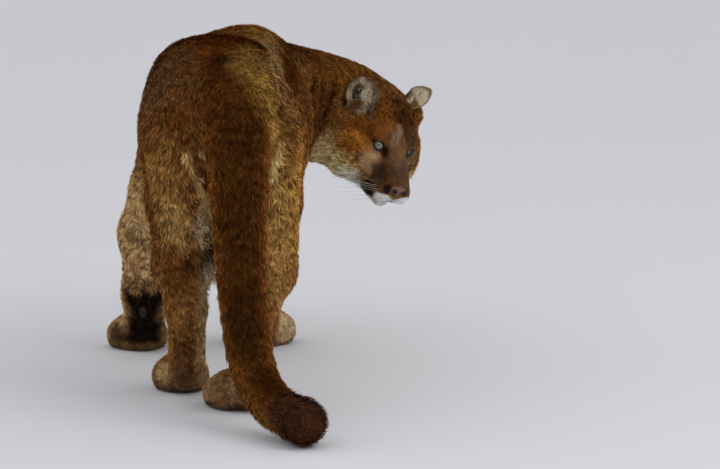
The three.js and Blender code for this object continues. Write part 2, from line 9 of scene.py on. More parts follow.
import bmesh
import bpy
import numpy as np
from mathutils import Matrix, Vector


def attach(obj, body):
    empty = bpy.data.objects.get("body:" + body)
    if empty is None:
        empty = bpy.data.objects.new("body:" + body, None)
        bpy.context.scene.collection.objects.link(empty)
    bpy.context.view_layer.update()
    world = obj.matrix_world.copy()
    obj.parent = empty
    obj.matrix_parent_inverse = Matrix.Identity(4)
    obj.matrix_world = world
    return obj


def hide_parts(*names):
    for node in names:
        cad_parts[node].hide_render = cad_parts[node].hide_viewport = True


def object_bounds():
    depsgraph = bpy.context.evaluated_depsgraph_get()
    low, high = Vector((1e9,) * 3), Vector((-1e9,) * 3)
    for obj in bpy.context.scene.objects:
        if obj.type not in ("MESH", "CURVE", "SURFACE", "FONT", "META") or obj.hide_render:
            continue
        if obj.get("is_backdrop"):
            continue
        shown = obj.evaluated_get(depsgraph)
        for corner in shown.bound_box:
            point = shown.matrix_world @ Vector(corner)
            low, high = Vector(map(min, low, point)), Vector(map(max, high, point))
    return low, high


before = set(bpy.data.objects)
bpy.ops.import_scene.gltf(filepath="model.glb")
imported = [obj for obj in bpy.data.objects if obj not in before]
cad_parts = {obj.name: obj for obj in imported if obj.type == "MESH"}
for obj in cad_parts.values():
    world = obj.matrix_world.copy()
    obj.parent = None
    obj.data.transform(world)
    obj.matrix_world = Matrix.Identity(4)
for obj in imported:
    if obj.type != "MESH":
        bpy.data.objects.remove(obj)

CAD_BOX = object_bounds()
LOG = logging.getLogger("cougar")
Array = np.ndarray
Triple = tuple[float, float, float]

# The bench's zero in the frame, in metres. Forms are stated in millimetres on the bench.
BENCH_AT = np.array((0.146428, -0.107225, 0.0))
# How much lighter a dark hair is than the whole coat looks, with its own shadows in it
HAIR_GAIN = 3.2
# The darkest and lightest linear tones of markings and painted light, of a coat, of one hair and
# of leather
MARKING_RANGE, COAT_RANGE = (0.0005, 0.9), (0.0005, 0.92)
HAIR_RANGE, LEATHER_RANGE = (0.0004, 0.92), (0.002, 0.9)
FAR = 400.0  # the distance that stands for a place outside a form's box
LATTICE = 32  # cells after which the noise repeats, a power of two


def in_frame(points: Array) -> Array:
    """Millimetres on the bench as metres in the frame."""
    return np.asarray(points, float) / 1000.0 + BENCH_AT


def unit(vectors: Array) -> Array:
    """Vectors made one long."""
    v = np.asarray(vectors, float)
    return v / np.maximum(np.linalg.norm(v, axis=-1, keepdims=True), 1e-9)


def eased(value: Array, low: float, high: float) -> Array:
    """A smooth step from 0 at low to 1 at high."""
    t = np.clip((value - low) / (high - low), 0.0, 1.0)
    return t * t * (3.0 - 2.0 * t)


def linear(colour: Triple) -> Array:
    """A colour in screen numbers from 0 to 255 as linear light."""
    c = np.asarray(colour, float) / 255.0
    return np.where(c <= 0.04045, c / 12.92, ((c + 0.055) / 1.055) ** 2.4)


def lifted(tones: Array) -> Array:
    """Tones of single hairs that give a coat of the given tones."""
    gained = tones * HAIR_GAIN / (1.0 + tones * (HAIR_GAIN - 1.0) / 0.95)
    return np.clip(gained, *COAT_RANGE)


def toned(colours: Array, tone: Triple, share: Array) -> Array:
    """Colours moved, each by its share, towards one screen colour."""
    return colours + (linear(tone) - colours) * share[:, None]


def blended(a: Array, b: Array, k: float) -> Array:
    """Union of two distances with a fillet of about the size k."""
    h = np.maximum(k - np.abs(a - b), 0.0) / k
    return np.minimum(a, b) - h * h * k * 0.25


def carved(body: Array, tool: Array, k: float) -> Array:
    """A body's distance with a tool's form taken out, its rim rounded by k."""
    return -blended(-body, tool, k)


@dataclass(frozen=True)
class Rod:
    """A round bar of clay whose radius changes from one end to the other."""

    a: Triple
    ra: float
    b: Triple
    rb: float

    def distance(self, p: Array) -> Array:
        """Distance of points from the bar's surface."""
        a, ab = np.array(self.a, float), np.subtract(self.b, self.a).astype(float)
        t = np.clip((p - a) @ ab / max(float(ab @ ab), 1e-9), 0.0, 1.0)
        away = np.linalg.norm(p - a - t[:, None] * ab, axis=1)
        return away - (self.ra + (self.rb - self.ra) * t)


@dataclass(frozen=True)
class Egg:
    """An egg of clay with its half sizes along three axes, the bench's own by default."""

    at: Triple
    half: Triple
    axes: tuple[Triple, ...] | None = None

    def distance(self, p: Array) -> Array:
        """Distance of points from the egg's surface, true close to it."""
        q = p - np.array(self.at, float)
        if self.axes is not None:
            q = q @ np.array(self.axes, float).T
        q = q / np.array(self.half, float)
        k0 = np.linalg.norm(q, axis=1)
        k1 = np.linalg.norm(q / np.array(self.half, float), axis=1)
        return k0 * (k0 - 1.0) / np.maximum(k1, 1e-9)


def joined(parts: Sequence[Any], p: Array, k: float) -> Array:
    """Many clay pieces as one distance with fillets between them."""
    d = parts[0].distance(p)
    for part in parts[1:]:
        d = blended(d, part.distance(p), k)
    return d


def chain(stations: Sequence[tuple[Triple, float]]) -> list[Rod]:
    """Bars through a row of centres and radii."""
    return [Rod(a, ra, b, rb) for (a, ra), (b, rb) in zip(stations, stations[1:])]


def smoothed(stations: Sequence[tuple[Triple, float]], steps: int) -> list[Rod]:
    """Bars along a smooth curve through a row of centres and radii."""
    rows = np.array([(*at, r) for at, r in stations])
    padded = np.concatenate((2 * rows[:1] - rows[1:2], rows, 2 * rows[-1:] - rows[-2:-1]))
    t = np.arange(steps)[:, None] / steps
    out = []
    for a, b, c, d in zip(padded, padded[1:], padded[2:], padded[3:]):
        bend = 2 * b + (c - a) * t + (2 * a - 5 * b + 4 * c - d) * t**2
        out.append((bend + (3 * b - a - 3 * c + d) * t**3) / 2)
    line = np.concatenate((*out, rows[-1:]))
    return chain([(tuple(row[:3]), float(row[3])) for row in line])


def where_near(p: Array, low: Triple, high: Triple, distance: Callable[[Array], Array]) -> Array:
    """A distance that is only worked out in a box and is large outside it.

    Args:
        p: points on the bench.
        low: the box's low corner.
        high: the box's high corner.
        distance: the form's distance of points.

    Returns:
        The distance of each point, FAR outside the box.
    """
    inside = np.all((p > np.array(low)) & (p < np.array(high)), axis=1)
    out = np.full(len(p), FAR)
    if inside.any():
        out[inside] = distance(p[inside])
    return out


class Noise:
    """Smooth random values in space, the same on every run."""

    def __init__(self, seed: int, channels: int = 1) -> None:
        """A lattice of random values that repeats."""
        rng = np.random.default_rng(seed)
        self.lattice = rng.uniform(-1.0, 1.0, (LATTICE, LATTICE, LATTICE, channels))

    def at(self, p: Array, scale: float) -> Array:
        """Values from -1 to 1 at points, one column for each channel.

        Args:
            p: points.
            scale: the size of one blob.

        Returns:
            An array of points by channels.
        """
        q = p / scale
        cell = np.floor(q).astype(int)
        t = q - cell
        t = t * t * (3.0 - 2.0 * t)
        total = 0.0
        for corner in np.ndindex(2, 2, 2):
            index = (cell + np.array(corner)) & (LATTICE - 1)
            weight = np.prod(np.where(np.array(corner), t, 1.0 - t), axis=1)
            value = self.lattice[index[:, 0], index[:, 1], index[:, 2]]
            total = total + value * weight[:, None]
        return total


@dataclass(frozen=True)
class HeadFrame:
    """The head's own directions: its origin lies midway between the eyes."""

    at: Triple = (-407.0, -380.0, 400.0)
    yaw: float = 15.0
    pitch: float = 33.0
    roll: float = 15.0
    scale: float = 1.05

    def axes(self) -> Array:
        """Right, forward and up of the head, as rows."""
        yaw, pitch, roll = (math.radians(v) for v in (self.yaw, self.pitch, self.roll))
        ahead = (-math.sin(yaw) * math.cos(pitch), math.cos(yaw) * math.cos(pitch))
        forward = np.array((*ahead, -math.sin(pitch)))
        level = unit(np.cross(forward, (0.0, 0.0, 1.0)))
        over = np.cross(level, forward)
        right = level * math.cos(roll) + over * math.sin(roll)
        return np.array((right, forward, over * math.cos(roll) - level * math.sin(roll)))

    def inside(self, p: Array) -> Array:
        """Bench points in the head's frame."""
        return (p - np.array(self.at)) @ self.axes().T / self.scale

    def outside(self, q: Array) -> Array:
        """Points of the head's frame on the bench."""
        return np.asarray(q, float) @ self.axes() * self.scale + np.array(self.at)


HEAD = HeadFrame()


@dataclass(frozen=True)
class TrunkForm:
    """The trunk: an oval section that changes from the chest to the rump, with rounded ends."""

    # place along Y, then the right and left side, the belly and the back
    stations: tuple[tuple[float, ...], ...] = (
        (-385, -150, 20, 395, 592),
        (-300, -196, 66, 350, 646),
        (-215, -216, 84, 330, 654),
        (-110, -218, 88, 334, 650),
        (0, -194, 94, 352, 660),
        (110, -166, 106, 372, 676),
        (220, -160, 112, 392, 690),
        (310, -148, 82, 420, 664),
        (385, -116, 22, 470, 606),
    )
    end: float = 55.0  # how far the rounded ends reach past the last sections
    end_size: float = 90.0
    squareness: float = 0.55  # how much squarer than an oval the rump is
    square_from: float = -150.0
    square_to: float = 200.0

    def sections(self, y: Array) -> Array:
        """The four sides of the section at places along Y, on smooth curves."""
        table = np.array(self.stations, float)
        ys, rows = table[:, 0], table[:, 1:]
        at = np.clip(y, ys[0], ys[-1])
        i = np.clip(np.searchsorted(ys, at, side="left") - 1, 0, len(ys) - 2)
        before, after = np.maximum(i - 1, 0), np.minimum(i + 2, len(ys) - 1)
        span = ys[i + 1] - ys[i]
        t = ((at - ys[i]) / span)[:, None]
        slope1 = (rows[i + 1] - rows[before]) * (span / (ys[i + 1] - ys[before]))[:, None]
        slope2 = (rows[after] - rows[i]) * (span / (ys[after] - ys[i]))[:, None]
        t2, t3 = t * t, t * t * t
        return (
            (2 * t3 - 3 * t2 + 1) * rows[i]
            + (t3 - 2 * t2 + t) * slope1
            + (3 * t2 - 2 * t3) * rows[i + 1]
            + (t3 - t2) * slope2
        )

    def distance(self, p: Array) -> Array:
        """Distance of points from the trunk's surface."""
        right, left, under, back = self.sections(p[:, 1]).T
        half_width, half_height = (left - right) / 2, (back - under) / 2
        across = (p[:, 0] - (left + right) / 2) / half_width
        rise = (p[:, 2] - (back + under) / 2) / half_height
        first, last = self.stations[0][0], self.stations[-1][0]
        past = np.maximum(np.maximum(first - p[:, 1], p[:, 1] - last), 0.0) / self.end
        power = 2.0 + self.squareness * eased(p[:, 1], self.square_from, self.square_to)
        section = (np.abs(across) ** power + np.abs(rise) ** power) ** (1.0 / power)
        least = np.minimum(half_width, half_height)
        least = np.minimum(least, np.where(past > 0, self.end_size, FAR))
        return (np.hypot(section, past) - 1.0) * least


@dataclass(frozen=True)
class LegForm:
    """One leg: joint centres and radii, then the paw's centre and the way its toes point."""

    top: tuple[Triple, float]
    bend: tuple[Triple, float]
    shank: tuple[Triple, float]
    ankle: tuple[Triple, float]
    heel: tuple[Triple, float]
    paw: Triple
    half: tuple[float, float]
    toes: float  # degrees left of forward
    paw_height: float = 49.0
    toe_level: float = 24.0
    toe_half: Triple = (17.0, 27.0, 24.0)
    toe_places: tuple[tuple[float, float], ...] = (
        (-0.62, 0.42),
        (-0.22, 0.66),
        (0.22, 0.66),
        (0.62, 0.42),
    )
    furrows: Triple = (-0.42, 0.0, 0.42)  # places across the paw of the furrows between toes
    limb_fillet: float = 26.0
    toe_fillet: float = 12.0
    paw_fillet: float = 20.0

    def axes(self) -> tuple[Triple, Triple, Triple]:
        """Across, along and up of the paw."""
        turn = math.radians(self.toes)
        along = (math.sin(turn), -math.cos(turn), 0.0)
        return (math.cos(turn), math.sin(turn), 0.0), along, (0.0, 0.0, 1.0)

    def on_paw(self, a: float, b: float, z: float) -> Triple:
        """A point across and along from the paw's centre, at a height."""
        across, along, _ = (np.array(v) for v in self.axes())
        p = np.array((self.paw[0], self.paw[1], z)) + across * a + along * b
        return tuple(float(v) for v in p)

    def rods(self) -> list[Rod]:
        """The limb's bars from the top down to the heel."""
        return chain([self.top, self.bend, self.shank, self.ankle, self.heel])

    def distance(self, p: Array) -> Array:
        """Distance of points from the leg's surface, with furrows between the toes."""
        wide, long = self.half
        axes = self.axes()
        toes = [
            Egg(self.on_paw(a * wide, b * long, self.toe_level), self.toe_half, axes)
            for a, b in self.toe_places
        ]
        body = Egg(self.on_paw(0, 0, self.paw[2]), (wide, long, self.paw_height), axes)
        foot = joined([body, *toes], p, self.toe_fillet)
        for a in self.furrows:
            front = self.on_paw(a * wide, long * 1.35, 18)
            rear = self.on_paw(a * wide, long * 0.55, 58)
            foot = carved(foot, Rod(front, 3.5, rear, 1.0).distance(p), 6.0)
        return blended(joined(self.rods(), p, self.limb_fillet), foot, self.paw_fillet)


LEGS = {
    "fore_left": LegForm(
        top=((34, -300, 455), 86),
        bend=((80, -218, 335), 60),
        shank=((108, -226, 250), 55),
        ankle=((114, -246, 125), 43),
        heel=((116, -278, 40), 42),
        paw=(129, -322, 24),
        half=(62, 62),
        toes=16,
    ),
    "fore_right": LegForm(
        top=((-150, -310, 455), 88),
        bend=((-140, -240, 335), 60),
        shank=((-122, -250, 250), 54),
        ankle=((-122, -276, 125), 43),
        heel=((-122, -312, 40), 42),
        paw=(-135, -356, 24),
        half=(62, 62),
        toes=-14,
    ),
    "hind_left": LegForm(
        top=((30, 245, 510), 90),
        bend=((40, 165, 370), 68),
        shank=((43, 265, 255), 53),
        ankle=((36, 305, 180), 35),
        heel=((35, 238, 46), 36),
        paw=(45, 172, 24),
        half=(54, 60),
        toes=12,
    ),
    "hind_right": LegForm(
        top=((-106, 250, 510), 90),
        bend=((-122, 205, 370), 62),
        shank=((-118, 345, 255), 50),
        ankle=((-92, 445, 185), 35),
        heel=((-82, 428, 48), 36),
        paw=(-52, 368, 24),
        half=(53, 60),
        toes=22,
    ),
}
LEG_FILLET = {"fore_left": 50.0, "fore_right": 50.0, "hind_left": 45.0, "hind_right": 30.0}
BUTTOCKS = {
    "hind_left": (Egg((36, 305, 450), (68, 82, 122)), Egg((34, 306, 340), (50, 54, 76))),
    "hind_right": (Egg((-112, 328, 450), (66, 78, 122)), Egg((-116, 330, 345), (46, 56, 80))),
}
GROIN = Egg((-11, 298, 282), (15, 24, 64))  # the soft inner side of the left thigh
NECK: tuple[tuple[Triple, float], ...] = (
    ((-62, -290, 498), 128),
    ((-112, -372, 495), 111),
    ((-178, -430, 488), 100),
    ((-262, -482, 468), 97),
    ((-345, -504, 437), 89),
)
TAIL: tuple[tuple[Triple, float], ...] = (
    ((-52, 350, 590), 68),
    ((-56, 412, 545), 64),
    ((-59, 462, 470), 55),
    ((-60, 497, 375), 48),
    ((-62, 523, 270), 43),
    ((-70, 560, 172), 40),
    ((-86, 615, 98), 39),
    ((-119, 682, 57), 38),
    ((-162, 748, 45), 39),
    ((-164, 770, 44), 37),
)
WITHERS = Egg((-104, -262, 612), (44, 100, 48))
CREST = chain([((-130, -262, 602), 40), ((-236, -446, 512), 62), ((-325, -486, 480), 66)])
TRUNK = TrunkForm()


@dataclass(frozen=True)
class EyeForm:
    """One eye in the head's frame: its ball, the way it looks and the slit of its lids."""

    side: float  # 1 on the animal's right, -1 on its left
    apart: float = 32.5
    depth: float = -11.0
    drop: float = -4.5
    radius: float = 13.8
    half_length: float = 13.2
    upper: float = 8.2
    lower: float = 7.6
    lid: float = 2.4

    def centre(self) -> Array:
        """The ball's centre."""
        return np.array((self.side * self.apart, self.depth, self.drop))

    def axes(self) -> Array:
        """Rows: towards the outer corner, up across the slit, and out of the socket."""
        out = unit(np.array((0.47 * self.side, 0.84, 0.27)))
        corner = np.array((0.66 * self.side, -0.72, 0.3))
        long = unit(corner - out * float(corner @ out))
        rise = np.cross(out, long) * self.side
        return np.array((long, rise * np.sign(rise[2]), out))

    def slit(self, q: Array) -> Array:
        """Distance of points from the space between the lids, negative in it."""
        x, y, z = ((q - self.centre()) @ self.axes().T).T
        lens = 1.0 - (x / self.half_length) ** 2
        across = np.maximum(y - self.upper * lens, -y - self.lower * lens) * 0.75
        return np.maximum(across, 3.0 - z)

    def on_rim(self, turn: Array, out: float) -> Array:
        """Points of the lids' edge, out from the ball by the given amount."""
        x = self.half_length * np.cos(turn)
        lens = 1.0 - np.cos(turn) ** 2
        y = np.where(np.sin(turn) > 0, self.upper, self.lower) * lens * np.sign(np.sin(turn))
        z = np.sqrt(np.maximum((self.radius + out) ** 2 - x * x - y * y, 4.0))
        return self.centre() + np.stack((x, y, z), 1) @ self.axes()


EYES = (EyeForm(1.0), EyeForm(-1.0, upper=2.9, lower=2.6))


@dataclass(frozen=True)
class HeadForm:
    """The skull, cheeks, muzzle and jaw in the head's frame, with lids, lips and furrows."""

    fillet: float = 16.0
    lip_line: tuple[Triple, ...] = (
        (0, 84, -74),
        (12, 74, -82),
        (23, 54, -88),
        (29, 32, -89),
        (36, 8, -84),
    )

    def lip_rods(self, side: float, radius: float) -> list[Rod]:
        """Bars of one radius along one side of the mouth."""
        return chain([((x * side, y, z), radius) for x, y, z in self.lip_line])

    def masses(self) -> list[Any]:
        """All lumps of the head."""
        lumps: list[Any] = [
            Egg((0, -88, -4), (72, 80, 62)),
            Egg((0, -36, 5), (48, 42, 34)),
            Egg((0, -16, -48), (50, 48, 42)),
            Egg((0, 38, -48), (36, 44, 32)),
            Rod((0, -8, -4), 25, (0, 62, -38), 19),
            Egg((0, 70, -46), (15, 13, 12)),
            Rod((0, 36, -97), 18, (0, -30, -98), 32),
            Egg((0, -84, -98), (58, 60, 48)),
        ]
        for s in (1, -1):
            lumps += [
                Egg((52 * s, -64, -66), (42, 58, 60)),
                Egg((31 * s, -18, 14), (23, 22, 14)),
                Egg((20 * s, 50, -66), (25, 29, 22)),
                Egg((27 * s, 18, -86), (14, 26, 14)),
                Egg((54 * s, -98, 22), (26, 26, 24)),
                Rod((43 * s, -24, -28), 20, (60 * s, -68, -32), 26),
            ]
        return lumps

    def distance(self, q: Array) -> Array:
        """Distance of points of the head's frame from the head's surface."""
        d = joined(self.masses(), q, self.fillet)
        for eye in EYES:
            s = eye.side
            d = carved(d, Egg((38 * s, 6, -3), (15, 15, 12)).distance(q), 8.0)
            ball = np.linalg.norm(q - eye.centre(), axis=1)
            d = blended(d, ball - (eye.radius + eye.lid), 7.0)
            d = carved(d, eye.slit(q), 1.6)
            corner = eye.on_rim(np.array([math.pi]), 1.5)[0]
            end = corner + np.array((-6.0 * s, 11.0, -8.0))
            d = carved(d, Rod(tuple(corner), 1.8, tuple(end), 0.8).distance(q), 3.0)
            # the crease between muzzle and cheek, and the one under the eye
            d = carved(d, Rod((46 * s, 14, -30), 1.0, (40 * s, 20, -72), 1.5).distance(q), 8.0)
            d = carved(d, Rod((14 * s, 2, 20), 1.0, (9 * s, -44, 48), 1.0).distance(q), 7.0)
            for rod in self.lip_rods(s, 1.5):
                d = carved(d, rod.distance(q), 3.0)
        d = carved(d, Egg((0, 89, -45), (22, 11, 13)).distance(q), 4.0)
        return carved(d, Rod((0, 86, -58), 1.2, (0, 80, -80), 1.6).distance(q), 3.0)


class Clay:
    """The whole animal's form as a distance on the bench, negative inside."""

    head_form = HeadForm()
    tail = smoothed(TAIL, 3)
    back_fillet = 40.0
    neck_fillet = 70.0
    head_fillet = 30.0
    tail_fillet = 34.0
    fold_rim = 9.0
    sole_rim = 4.0
    # creases of loose skin: from, to, radius
    folds: tuple[tuple[Triple, Triple, float], ...] = (
        ((-292, -372, 545), (-276, -366, 512), 3.0),
        ((-276, -366, 512), (-268, -352, 478), 3.5),
        ((-268, -352, 478), (-256, -346, 448), 3.0),
        ((-256, -346, 535), (-248, -338, 500), 2.5),
        ((-248, -338, 500), (-240, -330, 460), 2.5),
        # the edge of the shoulder over the neck
        ((-190, -344, 604), (-210, -352, 582), 3.5),
        ((-210, -352, 582), (-225, -330, 548), 5.0),
        ((-225, -330, 548), (-233, -290, 512), 5.0),
        ((-233, -290, 512), (-238, -276, 456), 4.5),
        ((-238, -276, 456), (-230, -272, 412), 3.5),
    )

    def head(self, p: Array) -> Array:
        """Distance from the head."""
        return self.head_form.distance(HEAD.inside(p)) * HEAD.scale

    def limb(self, name: str, p: Array) -> Array:
        """Distance from one leg with the muscle that belongs to it."""
        d = LEGS[name].distance(p)
        if name in BUTTOCKS:
            d = blended(d, joined(BUTTOCKS[name], p, 45.0), 45.0)
        if name == "hind_left":
            d = blended(d, GROIN.distance(p), 12.0)
        return d

    def flesh(self, p: Array) -> Array:
        """Distance from the whole animal as far out as its coat reaches."""
        d = blended(TRUNK.distance(p), WITHERS.distance(p), self.back_fillet)
        d = blended(d, joined(CREST, p, 20.0), self.back_fillet)
        neck = where_near(
            p, (-520, -700, 250), (160, -100, 700), lambda q: joined(chain(NECK), q, 45.0)
        )
        d = blended(d, neck, self.neck_fillet)
        head = where_near(p, (-560, -660, 190), (-160, -230, 640), self.head)
        d = blended(d, head, self.head_fillet)
        for name, form in LEGS.items():
            (x, y, _), (top_x, top_y, _) = form.paw, form.top[0]
            wider = 60 if name.endswith("right") else 0
            low = (min(x - 150 - wider, top_x - 160), min(y - 170, top_y - 190), -60)
            high = (max(x + 190, top_x + 160), top_y + 300, 660)
            near = where_near(p, low, high, lambda q, n=name: self.limb(n, q))
            d = blended(d, near, LEG_FILLET[name])
        tail = where_near(
            p, (-260, 240, -40), (60, 900, 760), lambda q: joined(self.tail, q, 4.0) - 2.0
        )
        d = blended(d, tail, self.tail_fillet)
        for a, b, r in self.folds:
            d = carved(d, Rod(a, r, b, r).distance(p), self.fold_rim)
        return carved(d, p[:, 2], self.sole_rim)

    def slope(self, p: Array, step: float = 0.4) -> Array:
        """The way the distance grows at points, not made one long."""
        columns = []
        for i in range(3):
            move = np.zeros(3)
            move[i] = step
            columns.append((self.flesh(p + move) - self.flesh(p - move)) / (2 * step))
        return np.stack(columns, 1)

    def settled(self, p: Array, level: Array, rounds: int = 3, most: float = 6.0) -> Array:
        """Points moved to where the distance has a given level.

        Args:
            p: points near that surface.
            level: the level wanted at each point.
            rounds: how many times the points move.
            most: the longest step, in millimetres.

        Returns:
            The moved points.
        """
        for _ in range(rounds):
            slope = self.slope(p)
            steep = np.maximum((slope * slope).sum(1), 0.09)
            step = slope * ((level - self.flesh(p)) / steep)[:, None]
            size = np.maximum(np.linalg.norm(step, axis=1, keepdims=True), 1e-9)
            p = p + step * np.minimum(1.0, most / size)
        return p


CLAY = Clay()


@dataclass(frozen=True)
class Swath:
    """A stretch of coat: where it lies, which way its hair runs and how it stands."""

    a: Triple
    b: Triple
    radius: float
    way: Triple | None  # None: along from a to b
    length: float
    lift: float  # degrees off the skin
    width: float = 1.2
    curl: float = 0.3

    def run(self) -> Array:
        """The way the hair runs, one long."""
        return unit(np.subtract(self.b, self.a) if self.way is None else np.array(self.way))


def body_swaths() -> list[Swath]:
    """Every stretch of coat on the trunk, neck, legs and tail."""
    rows = [
        Swath((-60, -200, 560), (-24, 250, 590), 110, (0, 1, -0.1), 12, 19),
        Swath((-150, -150, 480), (-120, 220, 500), 70, (0, 0.9, -0.5), 12, 19),
        Swath((30, -150, 480), (70, 200, 500), 60, (0, 0.9, -0.5), 12, 19),
        Swath((-65, -200, 400), (-20, 180, 440), 60, (0, 0.8, -0.6), 24, 24, 1.5, 0.5),
        Swath((-65, -385, 470), (-60, -280, 420), 90, (0, 0.1, -1), 18, 21, 1.4, 0.4),
        Swath((-104, -330, 600), (-100, -180, 610), 50, (0, 1, -0.2), 12, 18),
        Swath((60, -290, 520), (70, -230, 400), 60, (0.1, 0.5, -1), 12, 18),
        Swath((-190, -290, 520), (-170, -240, 400), 60, (-0.1, 0.5, -1), 12, 18),
        Swath((-30, 250, 600), (-40, 380, 600), 100, (0, 0.9, -0.6), 12, 20, 1.2, 0.35),
        Swath((80, 240, 540), (70, 220, 430), 50, (0, 0.45, -1), 12, 20, 1.2, 0.35),
        Swath((-150, 240, 540), (-140, 240, 430), 50, (0, 0.45, -1), 12, 20),
        Swath((2, 300, 330), (4, 296, 228), 16, (-0.75, 0.25, -0.6), 30, 60, 1.5, 0.5),
        Swath((34, 345, 570), (42, 345, 400), 62, (-0.12, 0.1, -1), 17, 28, 1.4, 0.8),
        Swath((-118, 370, 580), (-122, 360, 400), 60, (0.12, 0.1, -1), 18, 30, 1.4, 1.0),
        Swath((-116, 392, 600), (-100, 478, 510), 30, (0.1, 0.4, -1), 19, 34, 1.6, 1.2),
    ]
    for (a, ra), (b, rb) in zip(NECK[::-1], NECK[-2::-1]):
        rows.append(Swath(a, b, (ra + rb) / 2, None, 11, 19, 1.2, 0.35))
    for i, ((a, ra), (b, rb)) in enumerate(zip(TAIL, TAIL[1:])):
        long = 12 + 0.6 * i if i < 7 else 20
        way = None if i < 6 else (-0.62, 0.76, -0.06)
        rows.append(Swath(a, b, (ra + rb) / 2, way, long, 17, 1.25, 0.2))
    for name, leg in LEGS.items():
        fore = name.startswith("fore")
        sizes = ((12, 18), (12, 20), (10, 20), (9, 19))
        for rod, (long, lift) in zip(leg.rods(), sizes):
            way = (0, 0.45, -1) if rod.a[2] > 350 else None
            curl = 0.7 if fore else 0.45
            rows.append(Swath(rod.a, rod.b, min(rod.ra, rod.rb), way, long, lift, 1.2, curl))
        heel, tip = leg.on_paw(0, -20, 30), leg.on_paw(0, 55, 24)
        along = np.array(leg.axes()[1]) + np.array((0, 0, -0.55))
        rows.append(Swath(heel, tip, 42, tuple(along), 7.6, 21, 1.1, 0.5))
    return rows


@dataclass(frozen=True)
class Lie:
    """How the coat lies at many points."""

    way: Array
    length: Array
    lift: Array
    width: Array
    curl: Array


class Comb:
    """Works out how the coat lies anywhere on the animal."""

    nose: Triple = (0.0, 108.0, -46.0)
    swaths = body_swaths()

    def head_share(self, p: Array) -> Array:
        """How much a point belongs to the head, from 0 to 1."""
        q = HEAD.inside(p)
        behind = np.linalg.norm((q - np.array((0, -20, -36))) / np.array((92, 118, 98)), axis=1)
        return 1.0 - eased(behind, 0.95, 1.2)

    def on_head(self, p: Array) -> Lie:
        """How the coat lies on the head: away from the nose, longer towards cheek and throat."""
        q = HEAD.inside(p)
        way = unit(q - np.array(self.nose)) @ HEAD.axes()
        face = np.linalg.norm((q - np.array((0, 62, -52))) / np.array((46, 60, 48)), axis=1)
        brow = np.linalg.norm((q - np.array((0, 0, 0))) / np.array((60, 46, 44)), axis=1)
        length = 3.4 + 9.5 * eased(face, 0.8, 2.4)
        length = np.minimum(length, 3.2 + 8.0 * eased(brow, 0.6, 1.9))
        cheek = eased(-q[:, 2], 52.0, 100.0) * eased(-q[:, 1], -28.0, 40.0)
        length = length + 9.0 * cheek
        for eye in EYES:
            away = np.linalg.norm(q - eye.centre(), axis=1)
            length = np.minimum(length, 1.8 + 0.25 * np.maximum(away - 16.0, 0.0))
        lift = 12.0 + 3.0 * cheek
        width = np.clip(length * 0.11, 0.55, 1.4)
        return Lie(way, length, lift, width, 0.12 + 0.16 * cheek)

    def at(self, p: Array) -> Lie:
        """How the coat lies at points of the skin.

        Args:
            p: points on the bench.

        Returns:
            The lie, with ways not yet laid on the skin.
        """
        total = np.full(len(p), 1e-12)
        way, rest = np.zeros((len(p), 3)), np.zeros((len(p), 4))
        for s in self.swaths:
            away = np.maximum(Rod(s.a, s.radius, s.b, s.radius).distance(p), 0.0)
            weight = np.exp(-away / 13.0)
            total += weight
            way += weight[:, None] * s.run()
            rest += weight[:, None] * np.array((s.length, s.lift, s.width, s.curl))
        way, rest = unit(way / total[:, None]), rest / total[:, None]
        share = self.head_share(p)
        near = share > 0
        if near.any():
            h, k = self.on_head(p[near]), share[near][:, None]
            way[near] = unit(way[near] * (1 - k) + h.way * k)
            own = np.stack((h.length, h.lift, h.width, h.curl), 1)
            rest[near] = rest[near] * (1 - k) + own * k
        return Lie(way, rest[:, 0], rest[:, 1], rest[:, 2], rest[:, 3])

    def depth(self, p: Array) -> Array:
        """How far the skin lies inside the tips of the coat."""
        lie = self.at(p)
        return 0.4 + 0.62 * lie.length * np.sin(np.radians(lie.lift + 2.0))


COMB = Comb()


@dataclass(frozen=True)
class Patch:
    """A soft-edged patch of colour, used for markings, painted highlights and painted shade: where
    it is, how large, and what colour it turns the coat.
    """

    at: Triple
    half: Triple
    colour: Triple
    strength: float = 1.0
    edge: float = 0.5  # share of its size over which it fades

    def over(self, p: Array, colours: Array, ragged: Array) -> Array:
        """Colours with this patch laid over them."""
        r = np.linalg.norm((p - np.array(self.at)) / np.array(self.half), axis=1)
        fade = eased(r + 0.14 * ragged, 1.0 - self.edge, 1.0 + self.edge)
        return toned(colours, self.colour, self.strength * (1.0 - fade))


def both(at: Triple, half: Triple, colour: Triple, strength: float, edge: float) -> list[Patch]:
    """A marking on the right side of the head and the same on its left."""
    return [Patch((s * at[0], at[1], at[2]), half, colour, strength, edge) for s in (1, -1)]


